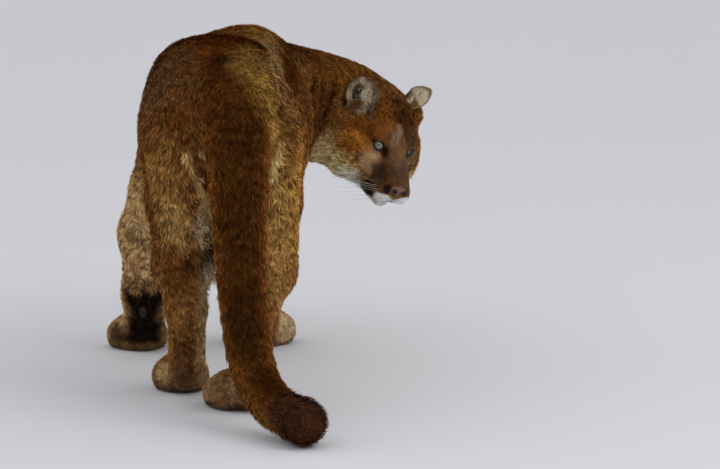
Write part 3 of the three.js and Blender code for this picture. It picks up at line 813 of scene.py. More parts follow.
class MarkingsAndPaintedLight:
    """The colours of the coat, the same for the skin and for each hair: its markings, with painted
    highlights and painted shade.
    """

    rust = (84, 50, 20)
    back = (60, 30, 3)
    cream = (168, 130, 84)
    paw = (84, 60, 40)
    sole = (36, 27, 19)
    fore_leg = (174, 126, 78)
    hind_leg = (104, 66, 31)
    wrist = (16, 10, 6)
    hock = (44, 28, 15)
    vent = (220, 156, 88)
    tail_side = (84, 46, 14)
    tail_stripe = (26, 12, 2)
    tail_gold = (108, 72, 30)
    tail_tip = (44, 25, 14)
    lid_line = (150, 122, 90)
    lid_dark = (22, 15, 12)
    mouth_dark = (20, 14, 12)
    fold_shade = 0.72
    fold_fade = 13.0  # how far a fold's shade reaches
    body: tuple[Patch, ...] = (
        Patch((-22, 190, 680), (80, 210, 60), (68, 31, 1), 0.85),
        Patch((-34, 410, 620), (40, 110, 110), (46, 22, 3), 0.9),
        Patch((-52, 500, 500), (44, 60, 130), (42, 20, 4), 0.9),
        Patch((60, 270, 630), (60, 160, 60), (74, 46, 23), 0.75),
        # painted highlight: the olive-gold light on the right of the rump, in two patches
        Patch((-100, 345, 640), (52, 80, 62), (120, 84, 38), 0.9),
        Patch((-112, 405, 595), (34, 60, 60), (122, 84, 34), 0.85),
        # painted sheen: a pale strip along the ridge of the right flank and hip, then a greyish
        # one on the left flank
        Patch((-140, 60, 640), (26, 330, 38), (150, 116, 76), 0.7),
        Patch((-152, 300, 590), (18, 60, 70), (120, 84, 48), 0.4),
        Patch((100, 240, 590), (24, 130, 60), (84, 58, 34), 0.5),
        Patch((52, 362, 552), (24, 40, 30), (68, 33, 8), 0.6),
        Patch((74, 340, 440), (44, 60, 70), (122, 78, 36), 0.8),
        Patch((-112, 440, 530), (30, 66, 56), (142, 98, 46), 0.85),
        Patch((54, 340, 370), (32, 50, 70), (148, 102, 54), 0.8),
        Patch((-138, 350, 340), (34, 80, 140), (158, 106, 54), 0.9),
        Patch((-176, 320, 400), (30, 80, 110), (150, 98, 44), 0.85),
        Patch((-190, -60, 520), (40, 170, 90), (86, 50, 20), 0.6),
        # painted shadow in the fold where the shoulder's edge lies over the neck
        Patch((-252, -324, 490), (30, 60, 70), (54, 30, 10), 0.7),
        # painted highlight: pale light on top of the withers
        Patch((-100, -262, 640), (60, 100, 40), (136, 90, 36), 0.8),
        Patch((-240, -430, 540), (110, 100, 60), (80, 45, 13), 0.8),
        Patch((-280, -408, 366), (62, 56, 30), (206, 138, 72), 0.8),
        Patch((-240, -430, 371), (90, 80, 32), (214, 160, 100), 0.85),
    )
    vents: tuple[tuple[Triple, Triple, float], ...] = (
        ((38, 385, 487), (28, 385, 460), 3.0),
        ((28, 385, 460), (13, 380, 425), 4.0),
        ((13, 380, 425), (2, 366, 393), 4.0),
        ((2, 366, 393), (-4, 340, 361), 4.0),
        ((-141, 391, 500), (-131, 399, 474), 6.0),
        ((-131, 399, 474), (-120, 404, 452), 6.0),
        ((-120, 404, 452), (-104, 404, 430), 6.0),
        ((-104, 404, 430), (-98, 396, 400), 5.0),
    )
    inner: tuple[Patch, ...] = (
        Patch((2, 318, 350), (26, 60, 50), (180, 142, 100), 0.85),
        # the next two: painted shade on the inner sides of the thighs, in the gap between the hind
        # legs
        Patch((-4, 290, 285), (22, 70, 46), (52, 41, 32), 0.9),
        Patch((-78, 300, 330), (24, 80, 90), (60, 46, 33), 0.8),
        Patch((-4, 290, 236), (16, 50, 34), (176, 144, 108), 0.85),
        # the legs' pale places
        Patch((77, 212, 40), (18, 20, 18), (160, 124, 78), 0.6),
        Patch((-176, -312, 40), (30, 40, 24), (180, 142, 98), 0.7),
        Patch((-138, 412, 244), (34, 44, 70), (142, 95, 50), 0.75),
        # painted shade down the middle of the left shank
        Patch((50, 325, 255), (34, 40, 52), (64, 33, 8), 0.65),
    )
    face: tuple[Patch, ...] = (
        Patch((0, -60, 10), (90, 110, 60), (80, 43, 12), 0.9),
        Patch((62, -30, -22), (44, 52, 34), (90, 48, 13), 0.8),
        Patch((-62, -30, -22), (44, 52, 34), (86, 48, 15), 0.8),
        Patch((0, -70, 54), (13, 62, 26), (36, 18, 4), 0.85),
        Patch((-6, -30, 40), (10, 34, 24), (32, 17, 5), 0.85),
        Patch((-24, -46, 36), (18, 66, 32), (40, 22, 8), 0.9),
        Patch((-22, -8, 22), (10, 22, 16), (44, 30, 18), 0.85),
        Patch((-48, 0, -20), (18, 34, 40), (62, 46, 32), 0.85),
        Patch((22, -84, 50), (7, 52, 20), (56, 34, 13), 0.6),
        # the brow's pale patch and the dark one over the inner corner
        Patch((14, 2, 17), (9, 13, 10), (92, 72, 54), 0.8),
        Patch((9, -6, 25), (8, 13, 10), (96, 75, 56), 0.75),
        Patch((3, -15, 33), (8, 14, 9), (94, 73, 54), 0.75),
        Patch((-12, 4, 16), (7, 12, 12), (60, 44, 32), 0.7),
        Patch((29, -4, 22), (9, 9, 7), (48, 33, 20), 0.7),
        # bridge and sides of the muzzle
        Patch((0, 34, -6), (22, 44, 26), (66, 47, 31), 0.9),
        Patch((0, 58, -26), (28, 28, 22), (48, 34, 23), 0.9),
        Patch((44, 8, -38), (20, 26, 28), (162, 122, 82), 0.9),
        Patch((-40, 14, -34), (22, 26, 24), (70, 52, 36), 0.9),
        Patch((31, 40, -38), (17, 30, 22), (27, 19, 14), 0.9),
        Patch((-31, 40, -38), (17, 30, 22), (38, 26, 17), 0.85),
        # rusty streaks behind the eye and down the cheek
        Patch((64, -24, -18), (32, 26, 14), (146, 82, 26), 0.62),
        Patch((-66, -24, -18), (28, 20, 8), (90, 54, 20), 0.7),
        Patch((58, -8, -60), (7, 16, 30), (92, 56, 22), 0.7),
        Patch((-58, -8, -60), (7, 16, 30), (86, 54, 24), 0.7),
        # pale lower cheek, jaw and throat
        Patch((78, -36, -90), (36, 40, 27), (226, 160, 92), 0.85),
        Patch((-80, -38, -84), (34, 40, 30), (196, 156, 104), 0.8),
        Patch((0, -60, -146), (90, 90, 40), (236, 190, 132), 0.9),
        Patch((0, 0, -124), (50, 70, 26), (250, 232, 204), 0.95),
        Patch((54, -14, -92), (20, 30, 20), (250, 204, 146), 0.95),
        Patch((-50, -10, -94), (16, 34, 20), (220, 190, 150), 0.8),
        # the lip band, its black patch, the white lip and the dark rim of the nose
        Patch((29, 62, -50), (16, 22, 12), (52, 35, 21), 0.9, 0.35),
        Patch((-29, 62, -50), (16, 22, 12), (66, 46, 30), 0.9, 0.35),
        *both((27, 8, -97), (13, 23, 16), (14, 10, 8), 1.0, 0.25),
        *both((38, 44, -74), (14, 25, 20), (14, 10, 8), 1.0, 0.25),
        *both((19, 74, -69), (17, 20, 12), (255, 254, 250), 1.0, 0.22),
        Patch((20, 79, -45), (8, 11, 10), (12, 9, 8), 0.95, 0.4),
        Patch((-20, 79, -45), (8, 11, 10), (22, 16, 13), 0.9, 0.4),
        Patch((0, 50, -106), (26, 26, 15), (214, 206, 194), 0.95),
    )

    def __init__(self) -> None:
        """Noise for ragged edges and mottling."""
        self.ragged = Noise(11)
        self.mottle = Noise(12, 2)

    def on_tail(self, p: Array, n: Array, colours: Array) -> Array:
        """Colours of the tail: a dark stripe along its outer side, gold below, a dark tip."""
        away = np.stack([rod.distance(p) for rod in chain(TAIL)], 1)
        share = eased(-away.min(1), -34.0, -10.0) * eased(p[:, 1], 395.0, 470.0)
        outer = np.where(p[:, 2] > 130, n[:, 1], 0.75 * n[:, 2] + 0.35 * n[:, 1])
        stripe = eased(outer, 0.2, 0.9) * (0.92 - 0.1 * eased(p[:, 2], 220.0, 300.0))
        gold = eased(-n[:, 2] * 0.7 + n[:, 0] * 0.5, 0.2, 0.9) * eased(-p[:, 2], -230.0, -90.0)
        end = p[:, 1] - 0.45 * p[:, 0] + 14.0 * self.ragged.at(p, 12.0)[:, 0]
        own = np.tile(linear(self.tail_side), (len(p), 1))
        own = toned(own, self.tail_stripe, stripe)
        own = toned(own, self.tail_gold, 0.7 * gold)
        own = toned(own, self.tail_tip, 0.95 * eased(end, 752.0, 792.0))
        return colours + (own - colours) * share[:, None]

    def on_legs(self, p: Array, n: Array, colours: Array) -> Array:
        """Colours of the legs: paler and greyer down to the paws, dark behind the wrists."""
        rear, low = eased(n[:, 1], 0.1, 0.8), -p[:, 2]
        for name, leg in LEGS.items():
            fore = name.startswith("fore")
            foot = Egg(leg.paw, (70, 80, 60)).distance(p)
            near = np.minimum(joined(leg.rods(), p, leg.limb_fillet), foot)
            share = eased(-near, -26.0, -4.0)
            inner = n[:, 0] * (1.0 if name.endswith("right") else -1.0)
            down = eased(low, -430.0, -300.0) if fore else eased(low, -330.0, -190.0)
            paling = eased(inner, 0.2, 0.9) * eased(low, -420.0, -300.0)
            paw = eased(low, -95.0 if fore else -80.0, -40.0)
            for tone, strength in (
                (self.fore_leg if fore else self.hind_leg, 0.9 * down),
                (self.cream, 0.5 * paling),
                (self.paw, 0.8 * paw),
                (self.sole, 0.8 * eased(low, -26.0, -6.0)),
            ):
                colours = toned(colours, tone, share * strength)
            bands = self.mottle.at(p * np.array((0.05, 0.05, 0.22)), 1.0)[:, 0]
            span = eased(p[:, 2], 20.0, 60.0) * eased(low, -320.0, -240.0)
            ripple = share * span * (1.0 - eased(bands, -0.35, 0.05)) * (0.6 if fore else 0.2)
            colours = colours * (1.0 - ripple)[:, None]
            if fore:
                band = eased(low - 12.0 * self.ragged.at(p, 14.0)[:, 0], -170.0, -128.0)
                band = band * eased(p[:, 2], 8.0, 30.0)
            else:
                middle = eased(30.0 - np.abs(p[:, 0] - leg.heel[0][0] - 8.0), 0.0, 22.0)
                band = 0.65 * middle * eased(low, -150.0, -110.0)
            colours = toned(colours, self.wrist if fore else self.hock, band * rear * share)
        return colours

    def at(self, p: Array, n: Array) -> Array:
        """The coat's colour at points of the skin.

        Args:
            p: points on the bench.
            n: the skin's outward directions there.

        Returns:
            Linear colours, one row each, as the whole coat looks there.
        """
        ragged = self.ragged.at(p, 16.0)[:, 0]
        colours = np.tile(linear(self.rust), (len(p), 1))
        over = eased(n[:, 2], 0.15, 0.85) * eased(p[:, 2], 500.0, 620.0)
        colours = toned(colours, self.back, 0.6 * over)
        under = eased(-n[:, 2], 0.25, 0.8) * eased(p[:, 2], 280.0, 330.0)
        colours = toned(colours, self.cream, 0.8 * under)
        for patch in self.body:
            colours = patch.over(p, colours, ragged)
        colours = self.on_legs(p, n, colours)
        for patch in self.inner:
            colours = patch.over(p, colours, ragged)
        colours = self.on_tail(p, n, colours)
        for a, b, r in self.vents:
            away = Rod(a, r, b, r).distance(p) + 5.0 * ragged
            share = 0.9 * (1.0 - eased(away, -3.0, 10.0)) * eased(n[:, 1], -0.9, 0.0)
            colours = toned(colours, self.vent, share)
        for a, b, r in Clay.folds:
            deep = 1.0 - eased(Rod(a, r, b, r).distance(p), -1.0, self.fold_fade)
            colours *= (1.0 - self.fold_shade * deep)[:, None]
        head = COMB.head_share(p)
        near = head > 0
        if near.any():
            q, own = HEAD.inside(p[near]), colours[near]
            rough = self.ragged.at(q, 7.0)[:, 0]
            for patch in self.face:
                own = patch.over(q, own, rough)
            own = self.on_rims(q, own)
            colours[near] += (own - colours[near]) * np.minimum(head[near] * 1.6, 1.0)[:, None]
        m = self.mottle.at(p, 24.0)[:, 0] * 0.09 + self.mottle.at(p, 7.0)[:, 1] * 0.07
        return np.clip(colours * (1.0 + m)[:, None], *MARKING_RANGE)

    def on_rims(self, q: Array, colours: Array) -> Array:
        """Dark lids, the pale line under the eye, the dark tear, and the line of the mouth."""
        for eye in EYES:
            s = eye.side
            x, y, _ = ((q - eye.centre()) @ eye.axes().T).T
            ring = np.abs(eye.slit(q))
            close = eased(-np.linalg.norm(q - eye.centre(), axis=1), -27.0, -22.0)
            below = eased(-y, 5.0, 8.0) * eased(x, -10.0, -3.0)
            pale = close * below * (1.0 - eased(ring, 3.5, 6.0))
            colours = toned(colours, self.lid_line, 0.85 * pale)
            dark = close * (1.0 - eased(ring, 1.4, 3.2 + 2.6 * (x < 0)))
            corner = eye.on_rim(np.array([math.pi]), 1.5)[0]
            end = corner + np.array((-7.0 * s, 13.0, -9.0))
            tear = Rod(tuple(corner), 7.0, tuple(end), 4.0).distance(q)
            dark = np.maximum(dark, 1.0 - eased(tear, -1.0, 2.5))
            inner = Rod((24 * s, 4, -4), 7.0, (17 * s, 20, -11), 5.0).distance(q)
            dark = np.maximum(dark, 0.9 * (1.0 - eased(inner, -2.0, 3.5)))
            colours = toned(colours, self.lid_dark, 0.95 * dark)
        for s in (1, -1):
            for rod in Clay.head_form.lip_rods(s, 1.6):
                dark = 0.95 * (1.0 - eased(rod.distance(q), 0.2, 1.8))
                colours = toned(colours, self.mouth_dark, dark)
        return colours


MARKINGS_AND_PAINTED_LIGHT = MarkingsAndPaintedLight()


# Surfaces


def wrapped(
    distance: Callable[[Array], Array], low: Triple, high: Triple, cell: float, coarse: int = 4
) -> tuple[Array, Array]:
    """A closed surface of quads where a distance is zero.

    Args:
        distance: the form's distance of points.
        low: low corner of a box round the form.
        high: high corner of that box.
        cell: the quads' size.
        coarse: cells to a side of the blocks that are tried first.

    Returns:
        Points and quads.
    """
    start = np.array(low, float)
    blocks = np.ceil((np.array(high, float) - start) / (cell * coarse)).astype(int)
    grid = np.stack(np.meshgrid(*[np.arange(n) for n in blocks], indexing="ij"), -1)
    grid = grid.reshape(-1, 3)
    rough = distance(start + (grid * coarse + (coarse - 1) / 2) * cell)
    near = np.abs(rough) < cell * coarse * 1.5
    value = rough.reshape(blocks)
    for axis in range(3):
        value = np.repeat(value, coarse, axis=axis)
    steps = np.stack(np.meshgrid(*[np.arange(coarse)] * 3, indexing="ij"), -1).reshape(-1, 3)
    fine = (grid[near][:, None, :] * coarse + steps).reshape(-1, 3)
    value[tuple(fine.T)] = distance(start + fine * cell)
    inside = value < 0
    n = np.array(value.shape) - 1
    corners = [np.array(c) for c in np.ndindex(2, 2, 2)]
    windows = [tuple(slice(at, at + size) for at, size in zip(c, n)) for c in corners]
    count = sum(inside[window].astype(int) for window in windows)
    active = (count > 0) & (count < 8)
    cells = np.argwhere(active)
    number = np.full(active.shape, -1)
    number[active] = np.arange(len(cells))
    total, crossings = np.zeros((len(cells), 3)), np.zeros(len(cells))
    for a in corners:
        for axis in range(3):
            if a[axis]:
                continue
            b = a.copy()
            b[axis] = 1
            va, vb = value[tuple((cells + a).T)], value[tuple((cells + b).T)]
            crossed = (va < 0) != (vb < 0)
            t = np.where(crossed, va / np.where(crossed, va - vb, 1.0), 0.0)
            total += (a + (b - a) * t[:, None]) * crossed[:, None]
            crossings += crossed
    points = start + (cells + total / crossings[:, None]) * cell
    quads = []
    for axis in range(3):
        u, w = np.eye(3, dtype=int)[[(axis + 1) % 3, (axis + 2) % 3]]
        step = np.eye(3, dtype=int)[axis]
        ends = [slice(1, s - 1) for s in value.shape]
        here = inside[tuple(ends)]
        shifted = tuple(slice(1 + d, s - 1 + d) for d, s in zip(step, value.shape))
        there = inside[shifted]
        for first, flip in ((True, False), (False, True)):
            at = np.argwhere((here == first) & (there != first)) + 1
            ring = [at, at - u, at - u - w, at - w]
            quad = np.stack([number[tuple(r.T)] for r in ring], 1)
            quads.append(quad[:, ::-1] if flip else quad)
    return points, np.concatenate(quads)


def smooth(mesh: bpy.types.Mesh) -> None:
    """Shades a mesh's faces smooth."""
    mesh.polygons.foreach_set("use_smooth", np.ones(len(mesh.polygons), dtype=bool))


def mesh_of(name: str, points: Array, faces: Array) -> bpy.types.Mesh:
    """A mesh from points and faces of one kind, all triangles or all quads.

    Args:
        name: the mesh's name.
        points: its points.
        faces: indices, one row for each face.

    Returns:
        The new mesh.
    """
    mesh = bpy.data.meshes.new(name)
    count, sides = faces.shape
    mesh.vertices.add(len(points))
    mesh.vertices.foreach_set("co", np.ascontiguousarray(points, dtype=np.float32).ravel())
    mesh.loops.add(count * sides)
    mesh.loops.foreach_set("vertex_index", np.ascontiguousarray(faces, dtype=np.int32).ravel())
    mesh.polygons.add(count)
    mesh.polygons.foreach_set("loop_start", np.arange(0, count * sides, sides, dtype=np.int32))
    mesh.update(calc_edges=True)
    smooth(mesh)
    return mesh


def points_of(mesh: bpy.types.Mesh) -> Array:
    """A mesh's points as an array."""
    out = np.empty(len(mesh.vertices) * 3, dtype=np.float32)
    mesh.vertices.foreach_get("co", out)
    return out.reshape(-1, 3).astype(float)


def set_points(mesh: bpy.types.Mesh, points: Array) -> None:
    """Moves a mesh's points."""
    mesh.vertices.foreach_set("co", np.ascontiguousarray(points, dtype=np.float32).ravel())
    mesh.update()


def corners_of(mesh: bpy.types.Mesh) -> Array:
    """The point that each corner of a mesh's faces is at."""
    out = np.empty(len(mesh.loops), dtype=np.int32)
    mesh.loops.foreach_get("vertex_index", out)
    return out


def centres_of(mesh: bpy.types.Mesh) -> Array:
    """The middles of a mesh's faces."""
    out = np.empty(len(mesh.polygons) * 3, dtype=np.float32)
    mesh.polygons.foreach_get("center", out)
    return out.reshape(-1, 3).astype(float)


def refine(mesh: bpy.types.Mesh, wanted: Array) -> None:
    """Splits the wanted faces of a mesh into four.

    Args:
        mesh: the mesh to change.
        wanted: one truth value for each face.
    """
    bm = bmesh.new()
    bm.from_mesh(mesh)
    bm.faces.ensure_lookup_table()
    edges = {e for i in np.nonzero(wanted)[0] for e in bm.faces[i].edges}
    bmesh.ops.subdivide_edges(bm, edges=list(edges), cuts=1, use_grid_fill=True)
    many = [f for f in bm.faces if len(f.verts) > 4]
    bmesh.ops.triangulate(bm, faces=many)
    bm.to_mesh(mesh)
    bm.free()
    smooth(mesh)
    mesh.update()


def mended(mesh: bpy.types.Mesh, fill: bool = False) -> None:
    """Turns a mesh's faces outwards, first closing its open ends if asked."""
    bm = bmesh.new()
    bm.from_mesh(mesh)
    if fill:
        bmesh.ops.holes_fill(bm, edges=[e for e in bm.edges if e.is_boundary])
    bmesh.ops.recalc_face_normals(bm, faces=bm.faces[:])
    bm.to_mesh(mesh)
    bm.free()


def add_tones(mesh: bpy.types.Mesh, tones: Array) -> None:
    """Stores a linear colour for each point, under the name that the coat's finish reads."""
    layer = mesh.color_attributes.new(name="tone", type="FLOAT_COLOR", domain="POINT")
    flat = np.ones((len(tones), 4), dtype=np.float32)
    flat[:, :3] = tones
    layer.data.foreach_set("color", flat.ravel())


def add_map(mesh: bpy.types.Mesh, spots: Array) -> None:
    """Gives the corners of a mesh's faces their places on its map."""
    layer = mesh.uv_layers.new(name="OFBake")
    layer.data.foreach_set("uv", np.clip(spots, 0.0, 1.0).astype(np.float32).ravel())


def shown(name: str, mesh: bpy.types.Mesh, finish: bpy.types.Material) -> bpy.types.Object:
    """A mesh as a piece of the model in a finish."""
    piece = bpy.data.objects.new(name, mesh)
    bpy.context.scene.collection.objects.link(piece)
    mesh.materials.append(finish)
    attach(piece, "root")
    return piece


def only(*pieces: bpy.types.Object) -> None:
    """Selects some pieces alone, the first of them active."""
    bpy.ops.object.select_all(action="DESELECT")
    for piece in pieces:
        piece.select_set(True)
    if pieces:
        bpy.context.view_layer.objects.active = pieces[0]


def as_one(name: str, pieces: Sequence[bpy.types.Object]) -> bpy.types.Object:
    """Joins pieces into the first of them, under one name."""
    only(*pieces)
    bpy.ops.object.join()
    whole = bpy.context.object
    whole.name = whole.data.name = name
    return whole


def ball(segments: int, rings: int, radius: float) -> bpy.types.Object:
    """A smooth round ball without a map."""
    only()
    bpy.ops.mesh.primitive_uv_sphere_add(segments=segments, ring_count=rings, radius=radius)
    piece = bpy.context.object
    for old in list(piece.data.uv_layers):
        piece.data.uv_layers.remove(old)
    smooth(piece.data)
    return piece


def unwrapped(mesh: bpy.types.Mesh, angle: float = 66.0) -> None:
    """Gives a mesh a UV map named OFBake, an unwrap of its own shape.

    Args:
        mesh: the mesh to change.
        angle: degrees between faces above which the map is cut.
    """
    holder = bpy.data.objects.new("unwrap", mesh)
    bpy.context.scene.collection.objects.link(holder)
    only(holder)
    mesh.uv_layers.new(name="OFBake")
    bpy.ops.object.mode_set(mode="EDIT")
    bpy.ops.mesh.select_all(action="SELECT")
    bpy.ops.uv.smart_project(angle_limit=math.radians(angle), island_margin=0.002)
    bpy.ops.object.mode_set(mode="OBJECT")
    bpy.data.objects.remove(holder)


# Finishes


class Value:
    """A number that a shader works out, held as the socket that gives it."""

    def __init__(self, bench: "Bench", socket: Any) -> None:
        """Keeps the socket and the bench whose nodes it belongs to."""
        self.bench, self.socket = bench, socket

    def _with(self, operation: str, *others: Any) -> "Value":
        """This value and others through one Math node."""
        inputs = {i: o for i, o in enumerate((self, *others))}
        return self.bench.node("ShaderNodeMath", {"operation": operation}, inputs).value(0)

    def _from(self, operation: str, first: Any) -> "Value":
        """Another number, then this value, through one Math node."""
        settings = {"operation": operation}
        return self.bench.node("ShaderNodeMath", settings, {0: first, 1: self}).value(0)

    def __add__(self, other: Any) -> "Value":
        """Sum."""
        return self._with("ADD", other)

    def __radd__(self, other: Any) -> "Value":
        """Sum with a number first."""
        return self._from("ADD", other)

    def __rsub__(self, other: Any) -> "Value":
        """Difference from a number."""
        return self._from("SUBTRACT", other)

    def __mul__(self, other: Any) -> "Value":
        """Product."""
        return self._with("MULTIPLY", other)

    def step(self, low: float, high: float) -> "Value":
        """A smooth step from 0 at low to 1 at high."""
        settings = {"interpolation_type": "SMOOTHSTEP", "clamp": True}
        inputs = {"Value": self, "From Min": low, "From Max": high}
        return self.bench.node("ShaderNodeMapRange", settings, inputs).value("Result")


class Made:
    """A node that the bench made."""

    def __init__(self, bench: "Bench", node: Any) -> None:
        """Keeps the node and its bench."""
        self.bench, self.own = bench, node

    def value(self, name: str | int) -> Value:
        """One of the node's outputs as a value."""
        return Value(self.bench, self.own.outputs[name])

    def out(self, name: str | int) -> Any:
        """One of the node's outputs as a plain socket."""
        return self.own.outputs[name]


class Bench:
    """Makes one material out of nodes."""

    def __init__(self, name: str) -> None:
        """Starts a material with only its output."""
        self.material = bpy.data.materials.new(name)
        self.material.use_nodes = True
        self.tree = self.material.node_tree
        self.tree.nodes.clear()
        self.output = self.tree.nodes.new("ShaderNodeOutputMaterial")

    def node(self, kind: str, settings: dict[str, Any], inputs: dict[Any, Any]) -> Made:
        """Any node, with its settings and then its inputs.

        Args:
            kind: the node's type.
            settings: its properties.
            inputs: for each input socket a number, colour, value or socket.

        Returns:
            The node.
        """
        made = self.tree.nodes.new(kind)
        for key, setting in settings.items():
            setattr(made, key, setting)
        for key, given in inputs.items():
            given = given.socket if isinstance(given, Value) else given
            if isinstance(given, bpy.types.NodeSocket):
                self.tree.links.new(given, made.inputs[key])
            else:
                made.inputs[key].default_value = given
        return Made(self, made)

    def mixed(self, share: Any, first: Any, second: Any) -> Any:
        """Two colours mixed by a share."""
        settings = {"data_type": "RGBA", "blend_type": "MIX"}
        return self.node("ShaderNodeMix", settings, {0: share, 6: first, 7: second}).out(2)

    def tinted(self, colour: Any, shade: Value) -> Any:
        """A colour made darker or lighter by a value."""
        inputs = {"Red": shade, "Green": shade, "Blue": shade}
        grey = self.node("ShaderNodeCombineColor", {}, inputs).out(0)
        settings = {"data_type": "RGBA", "blend_type": "MULTIPLY"}
        return self.node("ShaderNodeMix", settings, {0: 1.0, 6: colour, 7: grey}).out(2)

    def place(self) -> Any:
        """The point's place in the piece's own coordinates."""
        return self.node("ShaderNodeTexCoord", {}, {}).out("Object")

    def tone(self) -> Any:
        """The colour that is stored at the piece's own points."""
        return self.node("ShaderNodeAttribute", {"attribute_name": "tone"}, {}).out("Color")

    def pebbles(self, scale: float, smoothness: float) -> Value:
        """A value that is 0 in the middle of each round cell and grows towards its edge."""
        inputs = {"Vector": self.place(), "Scale": scale, "Smoothness": smoothness}
        made = self.node("ShaderNodeTexVoronoi", {"feature": "SMOOTH_F1"}, inputs)
        return made.value("Distance")

    def noise(self, scale: float, detail: float = 3.0, vector: Any = None) -> Value:
        """A noise value from 0 to 1."""
        inputs = {"Vector": vector or self.place(), "Scale": scale, "Detail": detail}
        return self.node("ShaderNodeTexNoise", {}, inputs).value("Fac")

    def bump(self, height: Value, distance: float, strength: float = 1.0) -> Any:
        """A normal from a height."""
        inputs = {"Height": height, "Distance": distance, "Strength": strength}
        return self.node("ShaderNodeBump", {}, inputs).out(0)

    def finished(self, inputs: dict[str, Any]) -> bpy.types.Material:
        """The material with a surface of the given inputs."""
        surface = self.node("ShaderNodeBsdfPrincipled", {}, inputs)
        self.tree.links.new(surface.out(0), self.output.inputs["Surface"])
        return self.material


def rgba(colour: Triple) -> tuple[float, float, float, float]:
    """A screen colour as linear numbers for a socket."""
    return (*(float(v) for v in linear(colour)), 1.0)


@dataclass(frozen=True)
class HairFinish:
    """Hair that takes its colour from the piece's own tones."""

    name: str = "hair"
    roughness: float = 0.7
    shine: float = 0.02
    speckle: float = 420.0
    fine: float = 0.28

    def material(self) -> bpy.types.Material:
        """The hair's material."""
        b = Bench(self.name)
        tone, flecks = b.tone(), b.noise(self.speckle, 2.0)
        colour = b.tinted(tone, 1.0 - self.fine / 2 + flecks * self.fine)
        inputs = {
            "Base Color": colour,
            "Roughness": self.roughness,
            "Specular IOR Level": self.shine,
        }
        return b.finished(inputs)


@dataclass(frozen=True)
class SkinFinish:
    """Skin under short hair: the coat's tones with a fine hairy grain."""

    name: str = "skin"
    grain: float = 900.0
    clumps: float = 160.0
    depth: float = 0.0012

    def material(self) -> bpy.types.Material:
        """The skin's material."""
        b = Bench(self.name)
        grain, clumps = b.noise(self.grain, 2.0), b.noise(self.clumps, 3.0)
        colour = b.tinted(b.tone(), 0.55 + grain * 0.5 + clumps * 0.4)
        inputs = {
            "Base Color": colour,
            "Roughness": 0.8 - clumps * 0.2,
            "Specular IOR Level": 0.05,
            "Normal": b.bump(grain * 0.5 + clumps * 0.5, self.depth),
        }
        return b.finished(inputs)


@dataclass(frozen=True)
class LeatherFinish:
    """Bare wet or dry skin: nose, lids and pads."""

    name: str
    dark: Triple
    light: Triple
    roughness: float
    cells: float = 900.0
    depth: float = 0.0004
    wet: float = 0.0

    def material(self) -> bpy.types.Material:
        """Fine pebbles with a blotchy colour."""
        b = Bench(self.name)
        pebbles, blotch = b.pebbles(self.cells, 0.4), b.noise(110.0, 3.0)
        tone = b.mixed(blotch.step(0.35, 0.65), rgba(self.dark), rgba(self.light))
        colour = b.tinted(tone, 1.15 - pebbles * 0.5)
        inputs = {
            "Base Color": colour,
            "Roughness": self.roughness + pebbles * 0.15,
            "Specular IOR Level": 0.25,
            "Coat Weight": self.wet,
            "Coat Roughness": 0.2,
            "Normal": b.bump(1.0 - pebbles, self.depth),
        }
        return b.finished(inputs)


@dataclass(frozen=True)
class IrisFinish:
    """A wet eye: round pupil, fibred pale iris, dark rim and brown white."""

    name: str = "eye"
    pupil: float = 0.15  # sizes as shares of the ball's radius
    iris: float = 0.66
    pale: Triple = (150, 150, 132)
    deep: Triple = (92, 96, 82)
    warm: Triple = (150, 142, 108)  # close round the pupil
    ring: Triple = (36, 34, 30)
    white: Triple = (70, 52, 40)

    def material(self) -> bpy.types.Material:
        """The eye's material, on the map that holds the place across the gaze."""
        b = Bench(self.name)
        kind = "ShaderNodeVectorMath"
        spot = b.node("ShaderNodeUVMap", {"uv_map": "gaze"}, {}).out(0)
        inputs = {0: spot, 1: (0.5, 0.5, 0.0)}
        centred = b.node(kind, {"operation": "SUBTRACT"}, inputs).out(0)
        away = b.node(kind, {"operation": "LENGTH"}, {0: centred}).value("Value") * 2.0
        around = b.node(kind, {"operation": "NORMALIZE"}, {0: centred}).out(0)
        fibres, flecks = b.noise(9.0, 4.0, around), b.noise(16.0, 2.0, centred)
        share = (fibres * 0.7 + flecks * 0.3).step(0.3, 0.7)
        iris = b.mixed(share, rgba(self.deep), rgba(self.pale))
        near_pupil = away.step(self.pupil, self.pupil + 0.16)
        iris = b.mixed(near_pupil, rgba(self.warm), iris)
        edge = away.step(self.iris - 0.13, self.iris)
        colour = b.mixed(edge, iris, rgba(self.ring))
        colour = b.mixed(away.step(self.iris, self.iris + 0.06), colour, rgba(self.white))
        dark = away.step(self.pupil - 0.02, self.pupil + 0.02)
        colour = b.mixed(dark, (0.003, 0.003, 0.004, 1.0), colour)
        inputs = {
            "Base Color": colour,
            "Roughness": 0.35,
            "Coat Weight": 1.0,
            "Coat Roughness": 0.02,
            "Normal": b.bump(fibres * (1.0 - edge), 0.0002),
        }
        return b.finished(inputs)


@dataclass(frozen=True)
class HornFinish:
    """Horn and whisker: streaked and smooth."""

    name: str
    dark: Triple
    light: Triple
    roughness: float = 0.35

    def material(self) -> bpy.types.Material:
        """The horn's material."""
        b = Bench(self.name)
        streaks = b.noise(300.0, 4.0)
        colour = b.mixed(streaks.step(0.35, 0.65), rgba(self.dark), rgba(self.light))
        inputs = {
            "Base Color": colour,
            "Roughness": self.roughness + streaks * 0.1,
            "Normal": b.bump(streaks, 0.0001),
        }
        return b.finished(inputs)


@dataclass(frozen=True)
class FloorFinish:
    """A plain pale studio floor."""

    name: str = "floor"
    tone: Triple = (208, 208, 212)

    def material(self) -> bpy.types.Material:
        """The floor's material."""
        b = Bench(self.name)
        colour = b.tinted(rgba(self.tone), 0.99 + b.noise(1.3, 2.0) * 0.02)
        return b.finished({"Base Color": colour, "Roughness": 0.9, "Specular IOR Level": 0.2})


# Pieces of the animal


